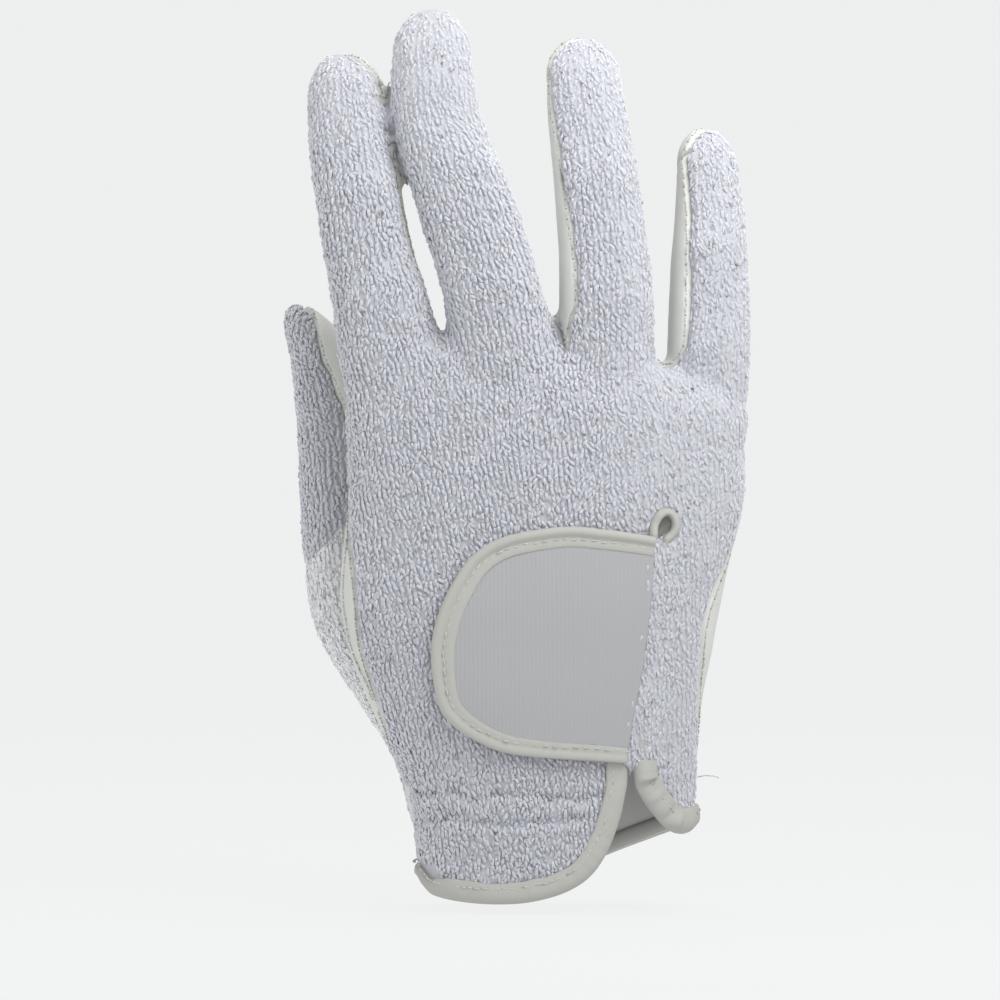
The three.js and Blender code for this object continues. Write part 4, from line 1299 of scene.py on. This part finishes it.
def hem_profile(path, share):
    """A flat tape round the flap, a fuller and more creased one on the right."""
    right = smoothstep(0.84, 0.88, share)
    ripple = noise(path, 5, 21) * (0.16 + 0.4 * right)
    ripple = ripple + noise(path, 2.0, 22) * (0.14 + 0.22 * right)
    corner = np.exp(-(((path[:, 0] + 31) / 3.5) ** 2)) * (path[:, 2] < 15)
    width = (HEM_WIDTH + noise(path, 3, 23) * 0.25 + 1.1 * right) * (1 - 0.45 * corner)
    full = 1 + 0.9 * right
    rows = [(width, -0.5), (width - 0.05, 0.3), (width - 0.5, 0.62)]
    for part, off in ((0.72, 0.72), (0.5, 0.85), (0.3, 0.85), (0.14, 0.6)):
        rows.append((width * part, (off + ripple) * full))
    return rows + [(0, 0.1 * full + ripple), (-0.25, -0.6), (-0.2, -1.5), (0.3, -2.3),
                   (1.4, -2.75), (2.8, -2.85), (3.9, -2.6), (4.2, -2.0)]


swept_binding("hem_tape", hem_path, hem_profile, "hem_binding")
tape_stitches("hem_stitches", hem_path, 3.4, 0.66, 1.7, lambda at: at[:, 2] < 31)
slit_path = softened(from_plan(slit_edge[::-1]), 4)


def slit_profile(path, share):
    """A narrow folded tape, fuller round the eye."""
    eye = smoothstep(80, 84, path[:, 2])
    ripple = noise(path, 2.5, 26) * (0.12 + 0.3 * eye)
    rows = [(2.6, -0.4), (2.5, 0.2), (2.0, 0.55), (1.3, 0.8), (0.6, 0.75), (0.05, 0.3),
            (-0.15, -0.5), (0.1, -1.6), (0.9, -2.2), (2.0, -2.3), (2.6, -1.9)]
    return [(a * (1 - 0.25 * eye), (b + ripple) * (1 + 0.5 * eye * (b > 0))) for a, b in rows]


swept_binding("slit_tape", slit_path, slit_profile, "slit_binding")


def side_fold():
    """The row of stitches down the leather beside the thumb."""
    z = np.linspace(47, 83, 60)
    x, y, half_x, half_y = palm_box(z)
    share = -0.3 - 0.12 * smoothstep(60, 48, z)
    across = (1 - np.abs(share) ** PALM_POWER) ** (1 / PALM_POWER)
    path = np.column_stack([x - across * half_x, y + share * half_y, z])
    tape_stitches("fold_stitches", path, 0.0, -0.42, 1.9, lambda at: at[:, 2] > 0)


side_fold()


def eye_fold():
    """The fold of tape seen inside the slit's eye, sloping back to the left."""
    centre = np.mean(SLIT_EYE, axis=0)
    half_x, half_z = 3.4, 3.9
    sides = 28
    angle = 2 * math.pi * np.arange(sides) / sides
    rings = []
    for share, behind in ((0.3, 0), (0.7, 0), (1.25, 0), (1.25, 0.5), (0.7, 0.5), (0.3, 0.5)):
        across, up = share * np.cos(angle), share * np.sin(angle)
        ring = from_plan(centre + np.column_stack([half_x * across, half_z * up]))
        ring[:, 1] += 2.1 - across + behind + 0.25 * np.sin(5 * ring[:, 2])
        rings.append(ring)
    points, faces = np.concatenate(rings), tube_faces(len(rings), sides, turned=True)
    finished(face_outwards(make_object("slit_eye_fold", points, faces)), TAPE, "binding_tape")


eye_fold()

TAB_BREADTH, TAB_HEIGHT = 51.5, 54.6
TAB_CORNER = np.array([-0.428 * WRIST_BREADTH, 0.245 * PALM_LENGTH])
TAB_OUTLINE = [
    (0.866, -0.003), (0.69, 0.01), (0.499, 0.022), (0.33, 0.044), (0.202, 0.095), (0.097, 0.165),
    (0.033, 0.255), (0, 0.456), (0.033, 0.634), (0.128, 0.813), (0.219, 0.905), (0.353, 0.965),
    (0.594, 1), (0.786, 0.987), (0.93, 0.969), (1.0, 0.957),
]
TAB_END = [(0.975, 0.676), (0.94, 0.41), (0.896, 0.19)]
TAB_SEAT, TAB_FACE = 0.9, 2.1  # how far the tab's two sides stand off the palm's surface
RIB = 0.96  # spacing of the tab's ribs, coarser than the real ones so that they show
tab_round = spline(plan_line(TAB_OUTLINE, TAB_BREADTH, TAB_HEIGHT) + TAB_CORNER, 330)
tab_end = plan_line(TAB_END, TAB_BREADTH, TAB_HEIGHT) + TAB_CORNER
tab_path = softened(from_plan(tab_round), 3)


def tab_profile(path, share):
    ripple = noise(path, 4, 31) * 0.06
    width = np.interp(share, [0, 0.25, 0.5, 0.75, 1], [0.8, 0.95, 1.2, 1.1, 1.02])
    roll = np.interp(share, [0, 0.35, 0.6, 1], [0.35, 0.7, 1, 1])
    rows = [
        (4.5, TAB_SEAT), (4.45, TAB_FACE + 0.05), (4.2, TAB_FACE + 0.22), (3.4, TAB_FACE + 0.28),
        (2.6, TAB_FACE + 0.22), (2.15, TAB_FACE + 0.2), (1.9, TAB_FACE + 0.2 + 0.3 * roll),
        (1.5, TAB_FACE + 0.2 + 0.65 * roll), (0.95, TAB_FACE + 0.2 + 0.8 * roll),
        (0.4, TAB_FACE + 0.2 + 0.6 * roll), (0.02, TAB_FACE + 0.3), (-0.12, TAB_FACE - 0.4),
        (0.0, TAB_SEAT), (0.5, TAB_SEAT - 0.25), (2.5, TAB_SEAT - 0.2),
    ]
    return [(a * width, b + ripple) for a, b in rows]


swept_binding("tab_tape", tab_path, tab_profile, "tab_binding")
tape_stitches("tab_stitches", tab_path, 2.9, TAB_FACE + 0.24, 2.3, lambda at: at[:, 0] < 22,
              holes=False)


def tab_cloth():
    """The tab's ribbed cloth, a closed sheet whose edge lies under the binding."""
    outline = np.concatenate([tab_round, tab_end])
    across = np.arange(TAB_CORNER[0], TAB_CORNER[0] + TAB_BREADTH + 2, 0.24)
    up = np.arange(TAB_CORNER[1] - 1, TAB_CORNER[1] + TAB_HEIGHT + 2, 0.8)
    grid = np.stack(np.meshgrid(across, up, indexing="ij"), axis=-1)
    cells = (grid[:-1, :-1] + grid[1:, 1:]) / 2
    deep = outside(cells.reshape(-1, 2), outline).reshape(cells.shape[:2])
    round_edge = distance_to(
        np.column_stack([cells.reshape(-1, 2), np.zeros(cells.shape[0] * cells.shape[1])]),
        np.column_stack([tab_round, np.zeros(len(tab_round))]),
    ).reshape(deep.shape)
    inside = (deep < 0) & (round_edge > 3)
    places = from_plan(grid.reshape(-1, 2))
    foot, normals = on_palm(places)
    rib = 0.05 * np.sin(2 * math.pi * (grid[..., 0].ravel() + 0.15 * noise(places, 9, 41)) / RIB)
    swell = 0.25 * noise(places, 16, 42)
    top = foot + normals * (TAB_FACE + rib + swell)[:, None]
    bottom = foot + normals * TAB_SEAT
    count = len(top)
    rows = grid.shape[1]
    i, j = np.nonzero(inside)
    corner = i * rows + j
    quads = np.column_stack([corner, corner + rows, corner + rows + 1, corner + 1])
    triangles = np.concatenate([quads[:, [0, 1, 2]], quads[:, [0, 2, 3]]])
    faces = wall_faces(triangles, count)
    used = np.unique(np.concatenate([triangles.ravel(), triangles.ravel() + count]))
    number = np.zeros(2 * count, dtype=int)
    number[used] = np.arange(len(used))
    points = np.concatenate([top, bottom])[used]
    made = make_object("tab_cloth", points, [tuple(number[list(face)]) for face in faces])
    finished(made, RIBBED, "ribbed_fabric", "closure_tab")


tab_cloth()


def loose_thread():
    """A thread's end that stands out of the little finger's side seam."""
    angle = 2 * math.pi * np.arange(5) / 5
    ring = 0.13 * np.column_stack([0 * angle, np.cos(angle), np.sin(angle)])
    path = [(34.2, -3, 28.2), (36, -4, 28.6), (38, -4.4, 28.5), (39.2, -4.4, 28.1)]
    made = make_object("loose_thread", *closed_tube([ring + place for place in path]))
    finished(made, THREAD, "leather")


loose_thread()

for shape in (LOOP, STITCH, HOLE_SHADE):
    bpy.data.objects.remove(shape)

# The floor, the light and the camera

def pale(name, base, glow, strength):
    """A pale ground that also glows a little, as an evenly lit studio cove does."""
    material = bpy.data.materials.new(name)
    material.use_nodes = True
    shader = material.node_tree.nodes["Principled BSDF"]
    shader.inputs["Base Color"].default_value = colour(base)
    shader.inputs["Roughness"].default_value = 0.9
    shader.inputs["Specular IOR Level"].default_value = 0.0
    shader.inputs["Emission Color"].default_value = colour(glow)
    shader.inputs["Emission Strength"].default_value = strength
    return material


def studio():
    """A floor that curves up into a backdrop all round, so that every side has the same ground."""
    low, flat, bend, top, sides = -3.0, 1500.0, 1500.0, 1600.0, 96
    rows = [(flat, low)]
    rows += [(flat + bend * math.sin(a), low + bend - bend * math.cos(a))
             for a in np.linspace(0, math.pi / 2, 20)[1:]]
    rows.append((flat + bend, top))
    points = []
    for out, z in rows:
        for k in range(sides):
            angle = 2 * math.pi * k / sides
            points.append((out * math.cos(angle), out * math.sin(angle), z))
    made = make_object("floor", points, tube_faces(len(rows), sides, turned=True)[:-1])
    made.data.materials.append(pale("pale ground", "#383838", "#F0F1F1", 0.96))


studio()


def softbox(name, place, aim, size, power):
    data = bpy.data.lights.new(name, "AREA")
    data.shape = "SQUARE"
    data.size = size
    data.energy = power
    made = bpy.data.objects.new(name, data)
    made.location = place
    made.rotation_euler = (Vector(aim) - Vector(place)).to_track_quat("-Z", "Y").to_euler()
    bpy.context.scene.collection.objects.link(made)


softbox("top light", (0.05, 0.3, 1.1), (0, 0, 0.16), 0.7, 7)
softbox("key light", (0.17, -0.25, 0.4), (0.01, 0, 0.14), 0.3, 1.75)
softbox("fill light", (-0.55, -0.35, 0.22), (-0.03, 0, 0.1), 0.5, 1.05)

world = bpy.data.worlds.new("studio")
bpy.context.scene.world = world
world.use_nodes = True
background = world.node_tree.nodes["Background"].inputs
background["Color"].default_value = colour("#FFFFFF")
background["Strength"].default_value = 0.17
bpy.context.scene.view_settings.view_transform = "Standard"

lens = bpy.data.cameras.new("camera")
lens.sensor_width = 36
lens.lens = 214
camera = bpy.data.objects.new("camera", lens)
camera.location = (-0.0122, -1.4, 0.0933)
camera.rotation_euler = (math.pi / 2, 0, 0)
bpy.context.scene.collection.objects.link(camera)
bpy.context.scene.camera = camera
